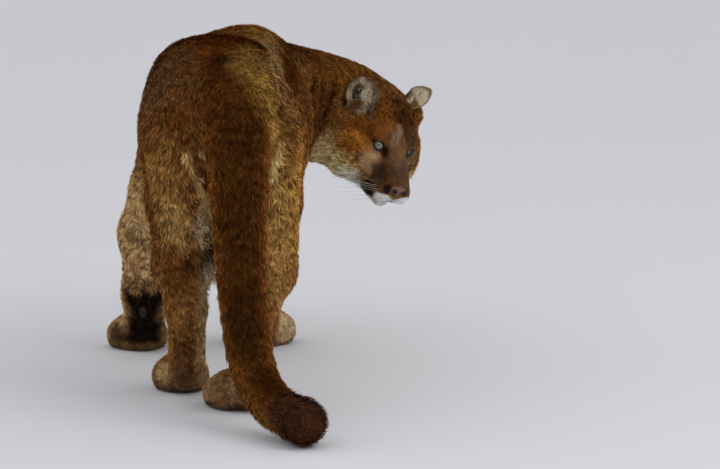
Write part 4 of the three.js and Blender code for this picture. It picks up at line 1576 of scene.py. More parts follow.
FLESH_NODES = (
    "hips belly chest neck head tail_base tail_middle tail_lower tail_tip "
    "fore_left_upper_arm fore_left_forearm fore_left_paw "
    "fore_right_upper_arm fore_right_forearm fore_right_paw "
    "hind_left_thigh hind_left_shank hind_left_paw "
    "hind_right_thigh hind_right_shank hind_right_paw"
).split()


@dataclass
class Skin:
    """The one skin of the body, from the nose to the tail's tip."""

    cell: float = 8.0
    low: Triple = (-520.0, -640.0, -24.0)
    high: Triple = (200.0, 840.0, 730.0)
    inset: float = 5.0  # where the first surface is taken, before it settles
    shade: float = 0.62  # how much darker the skin is than the coat over it
    bare_shade: float = 0.85  # the same where the coat is very short
    mesh: bpy.types.Mesh | None = None

    def build(self) -> bpy.types.Mesh:
        """The skin's mesh, in millimetres on the bench, finer on the head.

        Returns:
            The mesh.
        """
        points, quads = wrapped(
            lambda p: CLAY.flesh(p) + self.inset, self.low, self.high, self.cell
        )
        mesh = mesh_of("skin", CLAY.settled(points, -COMB.depth(points)), quads)
        for wanted in (self.on_head, self.on_face, self.on_features):
            refine(mesh, wanted(centres_of(mesh)))
            points = points_of(mesh)
            near = COMB.head_share(points) > 0.0
            start = points[near]
            points[near] = CLAY.settled(start, -COMB.depth(start), most=3.0)
            set_points(mesh, points)
        LOG.info("skin: %d points, %d faces", len(mesh.vertices), len(mesh.polygons))
        self.mesh = mesh
        return mesh

    def on_head(self, p: Array) -> Array:
        """Which places are on the head or a paw."""
        return (COMB.head_share(p) > 0.3) | (p[:, 2] < 60)

    def on_face(self, p: Array) -> Array:
        """Which places are on the front of the head."""
        return (COMB.head_share(p) > 0.5) & (HEAD.inside(p)[:, 1] > -46.0)

    def on_features(self, p: Array) -> Array:
        """Which places are round an eye, the nose or the mouth."""
        q = HEAD.inside(p)
        wanted = (q[:, 1] > 62.0) & (COMB.head_share(p) > 0.5)
        for eye in EYES:
            wanted |= np.linalg.norm(q - eye.centre(), axis=1) < 27.0
        for s in (1, -1):
            for rod in Clay.head_form.lip_rods(s, 6.0):
                wanted |= rod.distance(q) < 0.0
        return wanted

    def dress(self, finish: bpy.types.Material) -> bpy.types.Object:
        """The finished skin in the frame, with its tones and its map.

        Args:
            finish: the skin's material.

        Returns:
            The piece.
        """
        mesh = self.mesh
        points = points_of(mesh)
        tones = lifted(MARKINGS_AND_PAINTED_LIGHT.at(points, unit(CLAY.slope(points))))
        bare = COMB.head_share(points) * eased(-COMB.depth(points), -3.0, -0.9)
        shade = self.shade + (self.bare_shade - self.shade) * bare
        add_tones(mesh, tones * shade[:, None])
        unwrapped(mesh)
        set_points(mesh, in_frame(points))
        piece = shown("skin", mesh, finish)
        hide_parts(*FLESH_NODES)
        return piece


@dataclass(frozen=True)
class Region:
    """A part of the coat that is one piece: its name and the bars it lies nearest to."""

    name: str
    rods: tuple[tuple[Triple, Triple], ...]
    head: bool = False


REGIONS = (
    Region("coat_face", (((-425, -350, 350), (-440, -370, 400)),), True),
    Region("coat_cheek_right", (((-330, -390, 380), (-340, -410, 430)),), True),
    Region("coat_crown", (((-400, -470, 470), (-430, -490, 400)),), True),
    Region("coat_neck", (((-250, -440, 470), (-320, -500, 440)),)),
    Region("coat_chest", (((-110, -370, 480), (-60, -330, 430)),)),
    Region("coat_shoulders", (((-90, -250, 620), (-90, -120, 620)),)),
    Region("coat_back", (((-50, -20, 640), (-30, 160, 640)),)),
    Region("coat_rump", (((-50, 290, 620), (-40, 410, 560)),)),
    Region("coat_flank_right", (((-180, -120, 500), (-140, 120, 500)),)),
    Region("coat_flank_left", (((70, -120, 500), (90, 120, 500)),)),
    Region("coat_belly", (((-60, -120, 350), (-30, 120, 380)),)),
    Region(
        "coat_fore_left",
        (((110, -250, 400), (114, -246, 125)), ((116, -278, 40), (129, -340, 24))),
    ),
    Region(
        "coat_fore_right",
        (((-170, -280, 400), (-122, -276, 125)), ((-122, -312, 40), (-135, -370, 24))),
    ),
    Region("coat_thigh_left", (((80, 250, 520), (60, 230, 330)),)),
    Region("coat_thigh_right", (((-140, 270, 520), (-130, 260, 330)),)),
    Region(
        "coat_hind_left",
        (((43, 265, 255), (36, 305, 180)), ((35, 238, 46), (45, 172, 24))),
    ),
    Region(
        "coat_hind_right",
        (((-118, 345, 255), (-92, 445, 185)), ((-82, 428, 48), (-52, 368, 24))),
    ),
    Region("coat_tail_base", (((-59, 480, 470), (-60, 540, 300)),)),
    Region(
        "coat_tail_end",
        (((-70, 575, 172), (-90, 620, 98)), ((-119, 682, 57), (-164, 770, 44))),
    ),
)


@dataclass(frozen=True)
class Strand:
    """One tuft's own faces, its points' places on its patch and how light they are."""

    faces: tuple[tuple[int, int, int], ...]
    spots: tuple[tuple[float, float], ...]
    tones: tuple[float, ...]


SPIKE = Strand(((0, 1, 2),), ((-0.5, -0.5), (0.5, -0.5), (0.0, 0.5)), (0.55, 0.55, 1.2))
BLADE = Strand(
    ((0, 1, 3), (0, 3, 2), (2, 3, 4)),
    ((-0.5, -0.5), (0.5, -0.5), (-0.4, 0.1), (0.4, 0.1), (0.0, 0.5)),
    (0.4, 0.4, 0.95, 0.95, 1.4),
)


@dataclass
class Roots:
    """Where tufts grow: places on the bench, outward ways, map places and the lie there."""

    places: Array
    outward: Array
    spots: Array
    lie: Lie


@dataclass(frozen=True)
class TuftForm:
    """The shape of a tuft: a thin bent blade, or one spike where the coat is short."""

    short: float = 6.5  # hair up to this length is one spike
    sunk: float = 0.6  # how far its root lies under the skin
    patch: float = 0.003  # its size on the map
    roll: float = 0.6  # how much it turns about its own length
    scatter: float = 0.25
    grain: float = 9.0  # size of the small locks, with painted shade in their gaps
    fleck: float = 3.8  # size of the light and dark flecks
    floor: float = 0.4  # the lowest a tuft reaches over the ground


@dataclass
class Coat:
    """The hair of the whole animal, in one mesh for each region."""

    tufts: int = 480_000
    quick_tufts: int = 90_000
    cover: float = 3.0  # how many times the tufts cover the skin
    face_cover: float = 2.3
    form: TuftForm = field(default_factory=TuftForm)
    seed: int = 5

    def __post_init__(self) -> None:
        """Noise for the locks, and the random order of the tufts."""
        self.rng = np.random.default_rng(self.seed)
        self.locks = Noise(21, 3)
        self.waves = Noise(22, 2)

    def regions(self, centres: Array) -> Array:
        """The number of the region of each face of the skin."""
        head = COMB.head_share(centres) > 0.5
        away = []
        for region in REGIONS:
            d = np.min([Rod(a, 0, b, 0).distance(centres) for a, b in region.rods], axis=0)
            away.append(np.where(head == region.head, d, np.inf))
        return np.argmin(away, axis=0)

    def part_of_skin(self, skin: bpy.types.Mesh, faces: Array) -> bpy.types.Mesh:
        """A copy of some faces of the skin with an unwrap of their own."""
        bm = bmesh.new()
        bm.from_mesh(skin)
        bm.faces.ensure_lookup_table()
        wanted = set(int(i) for i in faces)
        others = [f for i, f in enumerate(bm.faces) if i not in wanted]
        bmesh.ops.delete(bm, geom=others, context="FACES")
        bmesh.ops.triangulate(bm, faces=bm.faces[:])
        part = bpy.data.meshes.new("part")
        bm.to_mesh(part)
        bm.free()
        unwrapped(part, 75.0)
        return part

    def sown(self, part: bpy.types.Mesh, share: float) -> Roots:
        """Tuft roots scattered over a part of the skin.

        Args:
            part: the skin's triangles with their own unwrap.
            share: what part of them is made.

        Returns:
            The roots.
        """
        points = points_of(part)
        corners = corners_of(part).reshape(-1, 3)
        spots = np.empty(len(part.loops) * 2, dtype=np.float32)
        part.uv_layers["OFBake"].data.foreach_get("uv", spots)
        spots = spots.reshape(-1, 3, 2).astype(float)
        a, b, c = (points[corners[:, i]] for i in range(3))
        area = np.linalg.norm(np.cross(b - a, c - a), axis=1) / 2
        wanted = area * self.per_area((a + b + c) / 3) * share
        number = np.floor(wanted).astype(int)
        number += self.rng.random(len(wanted)) < wanted - number
        chosen = np.repeat(np.arange(len(wanted)), number)
        u, v = self.rng.random(len(chosen)), self.rng.random(len(chosen))
        over = u + v > 1
        u[over], v[over] = 1 - u[over], 1 - v[over]
        w = np.stack((1 - u - v, u, v), 1)[:, :, None]
        places = (points[corners[chosen]] * w).sum(1)
        outward = unit((unit(CLAY.slope(points))[corners[chosen]] * w).sum(1))
        uv = (spots[chosen] * w).sum(1)
        return Roots(places, outward, uv, COMB.at(places))

    def per_area(self, p: Array) -> Array:
        """Tufts wanted for each square millimetre: enough to overlap everywhere."""
        lie = COMB.at(p)
        head = COMB.head_share(p)
        cover = self.cover + (self.face_cover - self.cover) * head
        size = 0.5 * lie.length * lie.width
        bare = np.ones(len(p))
        q = HEAD.inside(p)
        for eye in EYES:
            bare *= eased(eye.slit(q), 0.8, 2.2)
        nose = np.linalg.norm((q - np.array((0, 84, -44))) / np.array((21, 15, 13)), axis=1)
        bare *= eased(nose, 0.9, 1.15) * eased(p[:, 2], 4.0, 9.0)
        ears = np.ones(len(p))
        for ear in EARS:
            ears *= eased(ear.inside_root(q), -2.0, 5.0)
        return cover / size * bare * (0.25 + 0.75 * ears)

    def bent(self, roots: Roots, grain: Array) -> tuple[Array, Array, Array, Array]:
        """The line of each tuft.

        Args:
            roots: where the tufts grow.
            grain: how high each stands in its small lock, from -1 to 1.

        Returns:
            Starts, middles, tips, and the way to one side as long as half the width.
        """
        p, n, lie, rng, form = roots.places, roots.outward, roots.lie, self.rng, self.form
        count, curl = len(p), lie.curl[:, None]
        bend = self.locks.at(p, 15.0) * 1.3 + self.locks.at(p, 6.0) * 0.5
        way = lie.way + bend * curl + rng.normal(0, form.scatter, (count, 3))
        way = unit(way - n * (way * n).sum(1, keepdims=True))
        lift = np.radians(lie.lift * (1.0 + 0.7 * grain + rng.normal(0, 0.25, count)))
        lift = np.clip(lift, 0.04, 0.9)[:, None]
        length = (lie.length * (1.0 + rng.normal(0, 0.16, count)))[:, None]
        roll = rng.normal(0, form.roll, count)[:, None]
        side = np.cross(n, way)
        side = side * np.cos(roll) + n * np.sin(roll)
        half = (lie.width * rng.uniform(0.75, 1.25, count) / 2)[:, None]
        sway = side * (length * curl * rng.normal(0, 0.22, (count, 1)))
        along, rise = way * length * np.cos(lift), n * length * np.sin(lift)
        middle = p + along * 0.5 + rise * 0.58 + sway * 0.3
        return p - n * form.sunk, middle, p + along + rise * 0.86 + sway, side * half

    def shades(self, roots: Roots, grain: Array) -> tuple[Array, Array]:
        """The tone of each tuft, with painted shade in the gaps between locks, and how pale its
        coat is.

        Args:
            roots: where the tufts grow.
            grain: how high each stands in its small lock, from -1 to 1.

        Returns:
            Linear tones, and paleness from 0 to 1.
        """
        p, lie = roots.places, roots.lie
        fleck = self.waves.at(p, self.form.fleck)[:, 1]
        tone = lifted(MARKINGS_AND_PAINTED_LIGHT.at(p, roots.outward))
        pale = np.clip(tone.mean(1) / 0.8, 0.0, 1.0)
        # painted shade where a tuft lies low in the gap between locks, weaker on pale coat
        deep = (0.2 + 0.6 * np.minimum(lie.curl, 1.1)) * (1.0 - eased(grain, -0.5, 0.15))
        deep = deep * (1.0 - 0.7 * pale)
        speck = np.clip(lie.length / 9.0, 0.7, 1.0) * (1.0 + 0.6 * COMB.head_share(p))
        speck *= 0.5 + 0.5 * eased(p[:, 2], 50.0, 110.0)
        shade = self.rng.uniform(0.74, 1.26, len(p)) * (1.0 - deep)
        return tone * (shade * np.maximum(1.0 + speck * fleck, 0.3))[:, None], pale

    def blades(self, name: str, roots: Roots, finish: bpy.types.Material) -> bpy.types.Object:
        """One piece of the coat.

        Args:
            name: the piece's name.
            roots: where its tufts grow.
            finish: the hair's material.

        Returns:
            The piece.
        """
        form = self.form
        grain = self.waves.at(roots.places * np.array((1.0, 1.0, 1.6)), form.grain)[:, 0]
        start, middle, tip, side = self.bent(roots, grain)
        tone, pale = self.shades(roots, grain)
        short = roots.lie.length < form.short
        rows, faces, tones, spots = [], [], [], []
        base = 0
        for strand, k in ((SPIKE, np.nonzero(short)[0]), (BLADE, np.nonzero(~short)[0])):
            if not len(k):
                continue
            ring = [start[k] - side[k], start[k] + side[k]]
            if strand is BLADE:
                ring += [middle[k] - side[k] * 0.9, middle[k] + side[k] * 0.9]
            ring.append(tip[k])
            own = np.array(strand.faces)
            index = base + np.arange(len(k))[:, None, None] * len(ring) + own[None]
            rows.append(np.stack(ring, 1).reshape(-1, 3))
            faces.append(index.reshape(-1, 3))
            dark = np.array(strand.tones)[None, :, None]
            dark = dark + np.maximum(0.9 - dark, 0.0) * pale[k][:, None, None]
            tones.append((tone[k][:, None] * dark).reshape(-1, 3))
            spot = roots.spots[k][:, None] + np.array(strand.spots)[None] * form.patch
            spots.append(spot[:, own.ravel()].reshape(-1, 2))
            base += len(k) * len(ring)
        points = np.concatenate(rows)
        points[:, 2] = np.maximum(points[:, 2], form.floor)
        mesh = mesh_of(name, in_frame(points), np.concatenate(faces))
        add_tones(mesh, np.clip(np.concatenate(tones), *HAIR_RANGE))
        add_map(mesh, np.concatenate(spots))
        piece = shown(name, mesh, finish)
        return piece

    def build(self, skin: bpy.types.Mesh, finish: bpy.types.Material) -> list[bpy.types.Object]:
        """Every piece of the coat, over the skin's mesh on the bench.

        Args:
            skin: the skin's mesh, still in millimetres.
            finish: the hair's material.

        Returns:
            The pieces.
        """
        centres = centres_of(skin)
        area = np.empty(len(skin.polygons), dtype=np.float32)
        skin.polygons.foreach_get("area", area)
        wanted = float((area * self.per_area(centres)).sum())
        share = min(1.0, self.tufts / wanted)
        LOG.info("coat: %.0f tufts wanted, share %.2f", wanted, share)
        number = self.regions(centres)
        pieces = []
        for i, region in enumerate(REGIONS):
            part = self.part_of_skin(skin, np.nonzero(number == i)[0])
            roots = self.sown(part, share)
            bpy.data.meshes.remove(part)
            piece = self.blades(region.name, roots, finish)
            pieces.append(piece)
            LOG.info("%s: %d triangles", region.name, len(piece.data.polygons))
        return pieces


@dataclass(frozen=True)
class EarForm:
    """One ear in the head's frame: its root, its tip and a point that the opening faces."""

    name: str
    root: Triple
    tip: Triple
    open: Triple
    height: float = 66.0
    half_width: float = 35.0
    roll: float = 1.0  # how far its sides curl forward
    foot: float = -9.0  # where its lower edge lies along its height
    thick: float = 4.2
    blunt: float = 0.5  # less than 1 for a round top
    widest: float = 0.4  # the share of its height where it is widest
    held: float = 0.34  # the share of its height below which the head holds it
    deep: float = 7.0  # how deep its foot lies in the head

    def axes(self) -> Array:
        """Rows on the bench: across, up the ear, and out of its opening."""
        root, tip, face = (HEAD.outside(np.array(v)) for v in (self.root, self.tip, self.open))
        rise = unit(tip - root)
        across = unit(np.cross(face - root, rise))
        return np.array((across, rise, np.cross(rise, across)))

    def inside_root(self, q: Array) -> Array:
        """How far points of the head's frame are from the ear's open side at its root."""
        across, rise, out = self.axes()
        r = HEAD.outside(q) - HEAD.outside(np.array(self.root))
        apart = np.stack((r @ across, (r @ rise) * 1.2, r @ out - 8.0), 1)
        return np.linalg.norm(apart, axis=1) - 24.0

    def width_at(self, s: Array) -> Array:
        """Half the ear's width at a share of its height."""
        low = 0.62 + 0.95 * s
        high = np.maximum(1.0 - ((s - self.widest) / 0.61) ** 2, 0.0) ** self.blunt
        return np.maximum(self.half_width * np.where(s < self.widest, low, high), 2.0)

    def point(self, s: Array, t: Array, out: Array) -> Array:
        """Places on the bench by share of height, share across from -1 to 1, and depth."""
        across, rise, face = self.axes()
        curl = self.roll * (26.0 - 16.0 * s) * t * t - 14.0 * self.roll * s * s
        curl = curl + 24.0 * self.roll * np.maximum(np.abs(t) - 0.86, 0.0)
        root = HEAD.outside(np.array(self.root))
        place = (
            root
            + rise * (self.foot + (self.height - self.foot) * s)[:, None]
            + across * (self.width_at(s) * t)[:, None]
            + face * (curl + out)[:, None]
        )
        held = (1.0 - eased(s, 0.02, self.held)) * (CLAY.flesh(place) + self.deep)
        return place - unit(CLAY.slope(place)) * np.maximum(held, 0.0)[:, None]


EARS = (
    EarForm("ear_right", (77, -55, 39), (84, -103, 87), (105, -1, 65)),
    EarForm(
        "ear_left", (-38, -100, 50), (-77, -108, 80), (42, 45, 145), 50.0, 21.0, 0.3, blunt=0.8
    ),
)


class EarHair(Enum):
    """The kinds of hair on an ear: number, length, degrees off the skin and width."""

    BACK = (9000, 6.5, 13.0, 0.9)
    FRONT = (6000, 7.0, 24.0, 0.8)
    RIM = (2600, 6.0, 30.0, 0.8)
    TUFT = (620, 12.0, 28.0, 1.0)
    FOOT = (700, 14.0, 22.0, 1.1)


@dataclass
class Ear:
    """One ear: a thin cupped leaf with short hair behind, a pale rim and long hair inside."""

    form: EarForm
    rows: int = 30
    columns: int = 33
    seed: int = 31
    leaf_shade: float = 0.7  # how much darker the leaf is than the hair on it
    quick_share: float = 0.3
    shades: tuple[float, ...] = (0.4, 0.4, 0.9, 0.9, 1.3)  # from a hair's root to its tip

    def colours(self, s: Array, t: Array, inside: Array) -> Array:
        """Tones on the ear by its own measures.

        Args:
            s: shares of the ear's height.
            t: shares across, from -1 to 1.
            inside: 1 on the open side and 0 behind.

        Returns:
            Linear tones, one row each.
        """
        noise = Noise(33, 2)
        m = noise.at(np.stack((s * 11.0, t * 24.0, inside * 3.0), 1), 1.0)
        streaks = eased(m[:, 0], -0.45, 0.45)

        def streaked(dark: Triple, light: Triple) -> Array:
            """Streaks of two screen colours."""
            return toned(np.tile(linear(dark), (len(s), 1)), light, streaks)

        face = streaked((54, 40, 35), (92, 72, 60))
        rim = eased(np.maximum(np.abs(t) * 1.04, s * 1.06), 0.74, 0.9)[:, None]
        face = face + (streaked((84, 66, 54), (160, 134, 104)) - face) * rim
        # painted shade in the hollow of the ear's cup, darkest at its middle
        deep = 1.0 - eased(np.hypot((s - 0.5) / 0.42, (t - 0.3) / 0.34), 0.6, 1.3)
        face = toned(face, (26, 18, 16), 0.9 * deep)
        pale = np.abs(t + 0.12 + 0.5 * s) + 0.35 * np.maximum(s - 0.6, 0.0)
        pale = (1.0 - eased(pale + 0.12 * m[:, 1], 0.12, 0.34))[:, None]
        face = face + (streaked((120, 96, 70), (206, 180, 140)) - face) * 0.9 * pale
        if self.form.name == "ear_left":
            face = np.tile(linear((66, 40, 22)), (len(s), 1))
            face = toned(face, (206, 180, 138), 0.8 * eased(s + 0.1 * m[:, 1], 0.16, 0.42))
        back = np.tile(linear((70, 42, 20)), (len(s), 1))
        back = toned(back, (46, 32, 24), 0.7 * eased(s, 0.3, 0.8))
        return face * inside[:, None] + back * (1.0 - inside[:, None])

    def build(self, finish: bpy.types.Material) -> bpy.types.Object:
        """The ear's leaf, closed all round.

        Args:
            finish: the skin's material.

        Returns:
            The piece.
        """
        f = self.form
        steps = np.linspace(0, 1, self.rows), np.linspace(-1, 1, self.columns)
        s, t = (v.ravel() for v in np.meshgrid(*steps, indexing="ij"))
        edge = np.sqrt(np.clip(1.0 - np.maximum(np.abs(t), s) ** 6, 0.05, 1.0))
        half = f.thick / 2 * (1.25 - 0.5 * s) * edge
        points = np.concatenate((f.point(s, t, half), f.point(s, t, -half)))
        grid = np.arange(self.rows * self.columns).reshape(self.rows, self.columns)
        ring = (grid[:-1, :-1], grid[:-1, 1:], grid[1:, 1:], grid[1:, :-1])
        quad = np.stack(ring, -1).reshape(-1, 4)
        total = len(s)
        rim = np.concatenate((grid[0, :], grid[1:, -1], grid[-1, -2::-1], grid[-2:0:-1, 0]))
        after = np.roll(rim, -1)
        wall = np.stack((rim, rim + total, after + total, after), 1)
        mesh = mesh_of(f.name, points, np.concatenate((quad, quad[:, ::-1] + total, wall)))
        mended(mesh)
        inside = np.concatenate((np.ones(total), np.zeros(total)))
        tones = lifted(self.colours(np.tile(s, 2), np.tile(t, 2), inside)) * self.leaf_shade
        add_tones(mesh, np.clip(tones, *LEATHER_RANGE))
        unwrapped(mesh)
        set_points(mesh, in_frame(points))
        piece = shown(f.name, mesh, finish)
        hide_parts(f.name)
        return piece

    def strands(self, kind: EarHair, rng: np.random.Generator) -> tuple[Array, ...]:
        """Places, ways and tones of one kind of hair.

        Args:
            kind: which hair.
            rng: the ear's random numbers.

        Returns:
            Shares of height, shares across, ways on the bench and linear tones.
        """
        f = self.form
        across, rise, face = f.axes()
        n = int(kind.value[0] * (1.0))
        s, t = rng.uniform(0.03, 0.97, n), rng.uniform(-0.96, 0.96, n)
        lean = -1.0 if f.name == "ear_right" else 1.0
        inside = np.full(n, float(kind is not EarHair.BACK))
        if kind is EarHair.BACK:
            return s, t, np.tile(rise + face * 0.1, (n, 1)), self.colours(s, t, inside)
        if kind is EarHair.FOOT:
            s = 0.05 + 0.24 * s * s
            way = rise[None] + across[None] * (0.5 * t)[:, None]
            return s, t, way, np.tile(linear((82, 54, 28)), (n, 1))
        if kind is EarHair.RIM:
            side = rng.random(n) < 0.5
            s = np.where(side, s * 0.92, 0.9 + 0.08 * rng.random(n))
            t = np.where(side, np.sign(t) * rng.uniform(0.93, 0.99, n), t)
            way = rise[None] * 0.7 + across[None] * t[:, None] * 0.7 + face * 0.25
            return s, t, way, np.tile(linear((128, 104, 78)), (n, 1))
        noise = Noise(34, 2).at(np.stack((s * 5.0, t * 5.0, inside), 1), 1.0)
        if kind is EarHair.TUFT:
            s = s * 0.7
            t = np.clip(lean * (0.1 + 0.55 * s) + rng.normal(0.0, 0.13, n), -0.95, 0.95)
            turn = 2.4 + 1.6 * noise[:, 0]
            pale = rng.random(n) < 0.7
            tones = np.where(pale[:, None], linear((196, 168, 126)), linear((60, 44, 32)))
        else:
            turn = -0.9 * t + 2.2 * noise[:, 0]
            tones = self.colours(s, t, inside)
            hollow = eased(np.hypot((s - 0.5) / 0.42, (t + 0.3 * lean) / 0.34), 0.8, 1.3)
            pale = rng.random(n) < (0.04 + 0.26 * hollow * (noise[:, 1] > 0.0))
            tones = np.where(pale[:, None], linear((178, 152, 116)), tones)
        way = rise[None] * np.cos(turn)[:, None] - across[None] * (lean * np.sin(turn))[:, None]
        return s, t, way + face * 0.25, tones

    def hair(self, finish: bpy.types.Material, coat: Coat) -> bpy.types.Object:
        """The ear's hair: short behind and at its foot, a fringed rim, pale tufts in the opening.

        Args:
            finish: the hair's material.
            coat: the coat whose size of patch on the map it shares.

        Returns:
            The piece.
        """
        rng = np.random.default_rng(self.seed)
        f = self.form
        face = f.axes()[2]
        rows: list[tuple[Array, ...]] = []
        for kind in EarHair:
            s, t, way, tone = self.strands(kind, rng)
            _, length, lift, width = kind.value
            side = -1.0 if kind is EarHair.BACK else 1.0
            out = np.full(len(s), side * f.thick * 0.4)
            place = f.point(s, t, out)
            beside, above = f.point(s, t + 0.01, out), f.point(s + 0.01, t, out)
            normal = unit(np.cross(beside - place, above - place))
            normal = normal * (side * np.sign(normal @ face))[:, None]
            sizes = np.tile((length, lift, width / 2), (len(s), 1))
            rows.append((place, normal, way, sizes, tone, np.stack((t, s), 1)))
        places, normals, ways, sizes, tones, spots = (np.concatenate(c) for c in zip(*rows))
        count = len(places)
        ways = unit(ways + rng.normal(0, 0.22, (count, 3)))
        ways = unit(ways - normals * (ways * normals).sum(1, keepdims=True))
        length = sizes[:, :1] * rng.uniform(0.7, 1.2, (count, 1))
        lift = np.radians(sizes[:, 1:2]) * rng.uniform(0.6, 1.4, (count, 1))
        side = np.cross(normals, ways) * sizes[:, 2:3]
        start = places - normals * coat.form.sunk
        along, up = ways * length * np.cos(lift), normals * length * np.sin(lift)
        middle, tip = places + along * 0.5 + up * 0.6, places + along + up * 0.8
        ring = [start - side, start + side, middle - side * 0.8, middle + side * 0.8, tip]
        own = np.array(BLADE.faces)
        faces = (np.arange(count)[:, None, None] * len(ring) + own[None]).reshape(-1, 3)
        name = f.name + "_hair"
        mesh = mesh_of(name, in_frame(np.stack(ring, 1).reshape(-1, 3)), faces)
        shade = rng.uniform(0.5, 1.3, (count, 1, 1)) * np.array(self.shades)[None, :, None]
        add_tones(mesh, np.clip((lifted(tones)[:, None] * shade).reshape(-1, 3), *HAIR_RANGE))
        spots = spots * (0.45, 0.9) + (0.5, 0.05)
        spots = spots[:, None] + np.array(BLADE.spots)[None] * coat.form.patch
        add_map(mesh, spots[:, own.ravel()].reshape(-1, 2))
        piece = shown(name, mesh, finish)
        return piece


@dataclass
class Eye:
    """One eyeball with a raised cornea, and the dark wet rim of its lids."""

    form: EyeForm
    gaze: Triple = (0.40, 0.80, 0.42)  # in the head's frame, the same for both eyes
    cornea: float = 1.1  # how far the cornea stands out
    rim: float = 1.15  # radius of the lids' bare edge
    behind: tuple[float, float] = (0.98, 0.5)  # where the ball's hidden half lies on its map

    def name(self) -> str:
        """The node that the eye stands for."""
        return "eye_right" if self.form.side > 0 else "eye_left"

    def build(self, finish: bpy.types.Material) -> bpy.types.Object:
        """The ball, its map holding the place across the gaze.

        Args:
            finish: the eye's material.

        Returns:
            The piece.
        """
        radius = self.form.radius
        piece = ball(72, 48, radius)
        mesh = piece.data
        piece.name = mesh.name = self.name()
        local = points_of(mesh)
        swell = 1.0 + self.cornea / radius * eased(local[:, 2] / radius, 0.72, 0.92)
        local = local * swell[:, None]
        look = unit(np.array(self.gaze))
        over = unit(np.cross(look, np.cross((0.0, 0.0, 1.0), look)))
        turned = np.array((np.cross(over, look), over, look))
        set_points(mesh, in_frame(HEAD.outside(self.form.centre() + local @ turned)))
        flat = local[:, :2] / radius / 2 + 0.5
        flat[local[:, 2] < 0] = self.behind
        gaze = mesh.uv_layers.new(name="gaze")
        gaze.data.foreach_set("uv", flat[corners_of(mesh)].astype(np.float32).ravel())
        mesh.materials.append(finish)
        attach(piece, "root")
        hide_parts(self.name())
        return piece

    def lids(self, finish: bpy.types.Material) -> bpy.types.Object:
        """The bare dark edge of the lids, a soft tube round the slit."""
        turn = np.linspace(0, 2 * math.pi, 97)[:-1]
        line = HEAD.outside(self.form.on_rim(turn, self.form.lid * 0.55))
        return tube(self.name() + "_lids", line, np.full(len(line), self.rim), finish, 10, True)


def tube(
    name: str, line: Array, radii: Array, finish: bpy.types.Material, sides: int, closed: bool
) -> bpy.types.Object:
    """A round tube along a line on the bench.

    Args:
        name: the piece's name.
        line: its centres in millimetres.
        radii: a radius for each centre.
        finish: its material.
        sides: how many sides it has.
        closed: whether the line meets itself.

    Returns:
        The piece.
    """
    before, beyond = line[-1:], line[:1]
    if not closed:
        before, beyond = 2 * line[:1] - line[1:2], 2 * line[-1:] - line[-2:-1]
    padded = np.concatenate((before, line, beyond))
    along = unit(padded[2:] - padded[:-2])
    side = np.zeros_like(line)
    side[0] = unit(np.cross(along[0], (0.3, 0.2, 0.93)))
    for i in range(1, len(line)):
        side[i] = unit(side[i - 1] - along[i] * float(side[i - 1] @ along[i]))
    up = np.cross(along, side)
    turn = np.arange(sides) * 2 * math.pi / sides
    ring = side[:, None] * np.cos(turn)[None, :, None] + up[:, None] * np.sin(turn)[None, :, None]
    points = (line[:, None] + ring * radii[:, None, None]).reshape(-1, 3)
    count = len(line)
    i = np.arange(count if closed else count - 1)[:, None]
    j = np.arange(sides)[None]
    after, beside = (i + 1) % count, (j + 1) % sides
    here, there = i * sides, after * sides
    quads = np.stack((here + j, here + beside, there + beside, there + j), -1)
    mesh = mesh_of(name, in_frame(points), quads.reshape(-1, 4))
    if not closed:
        mended(mesh, fill=True)
    return shown(name, mesh, finish)


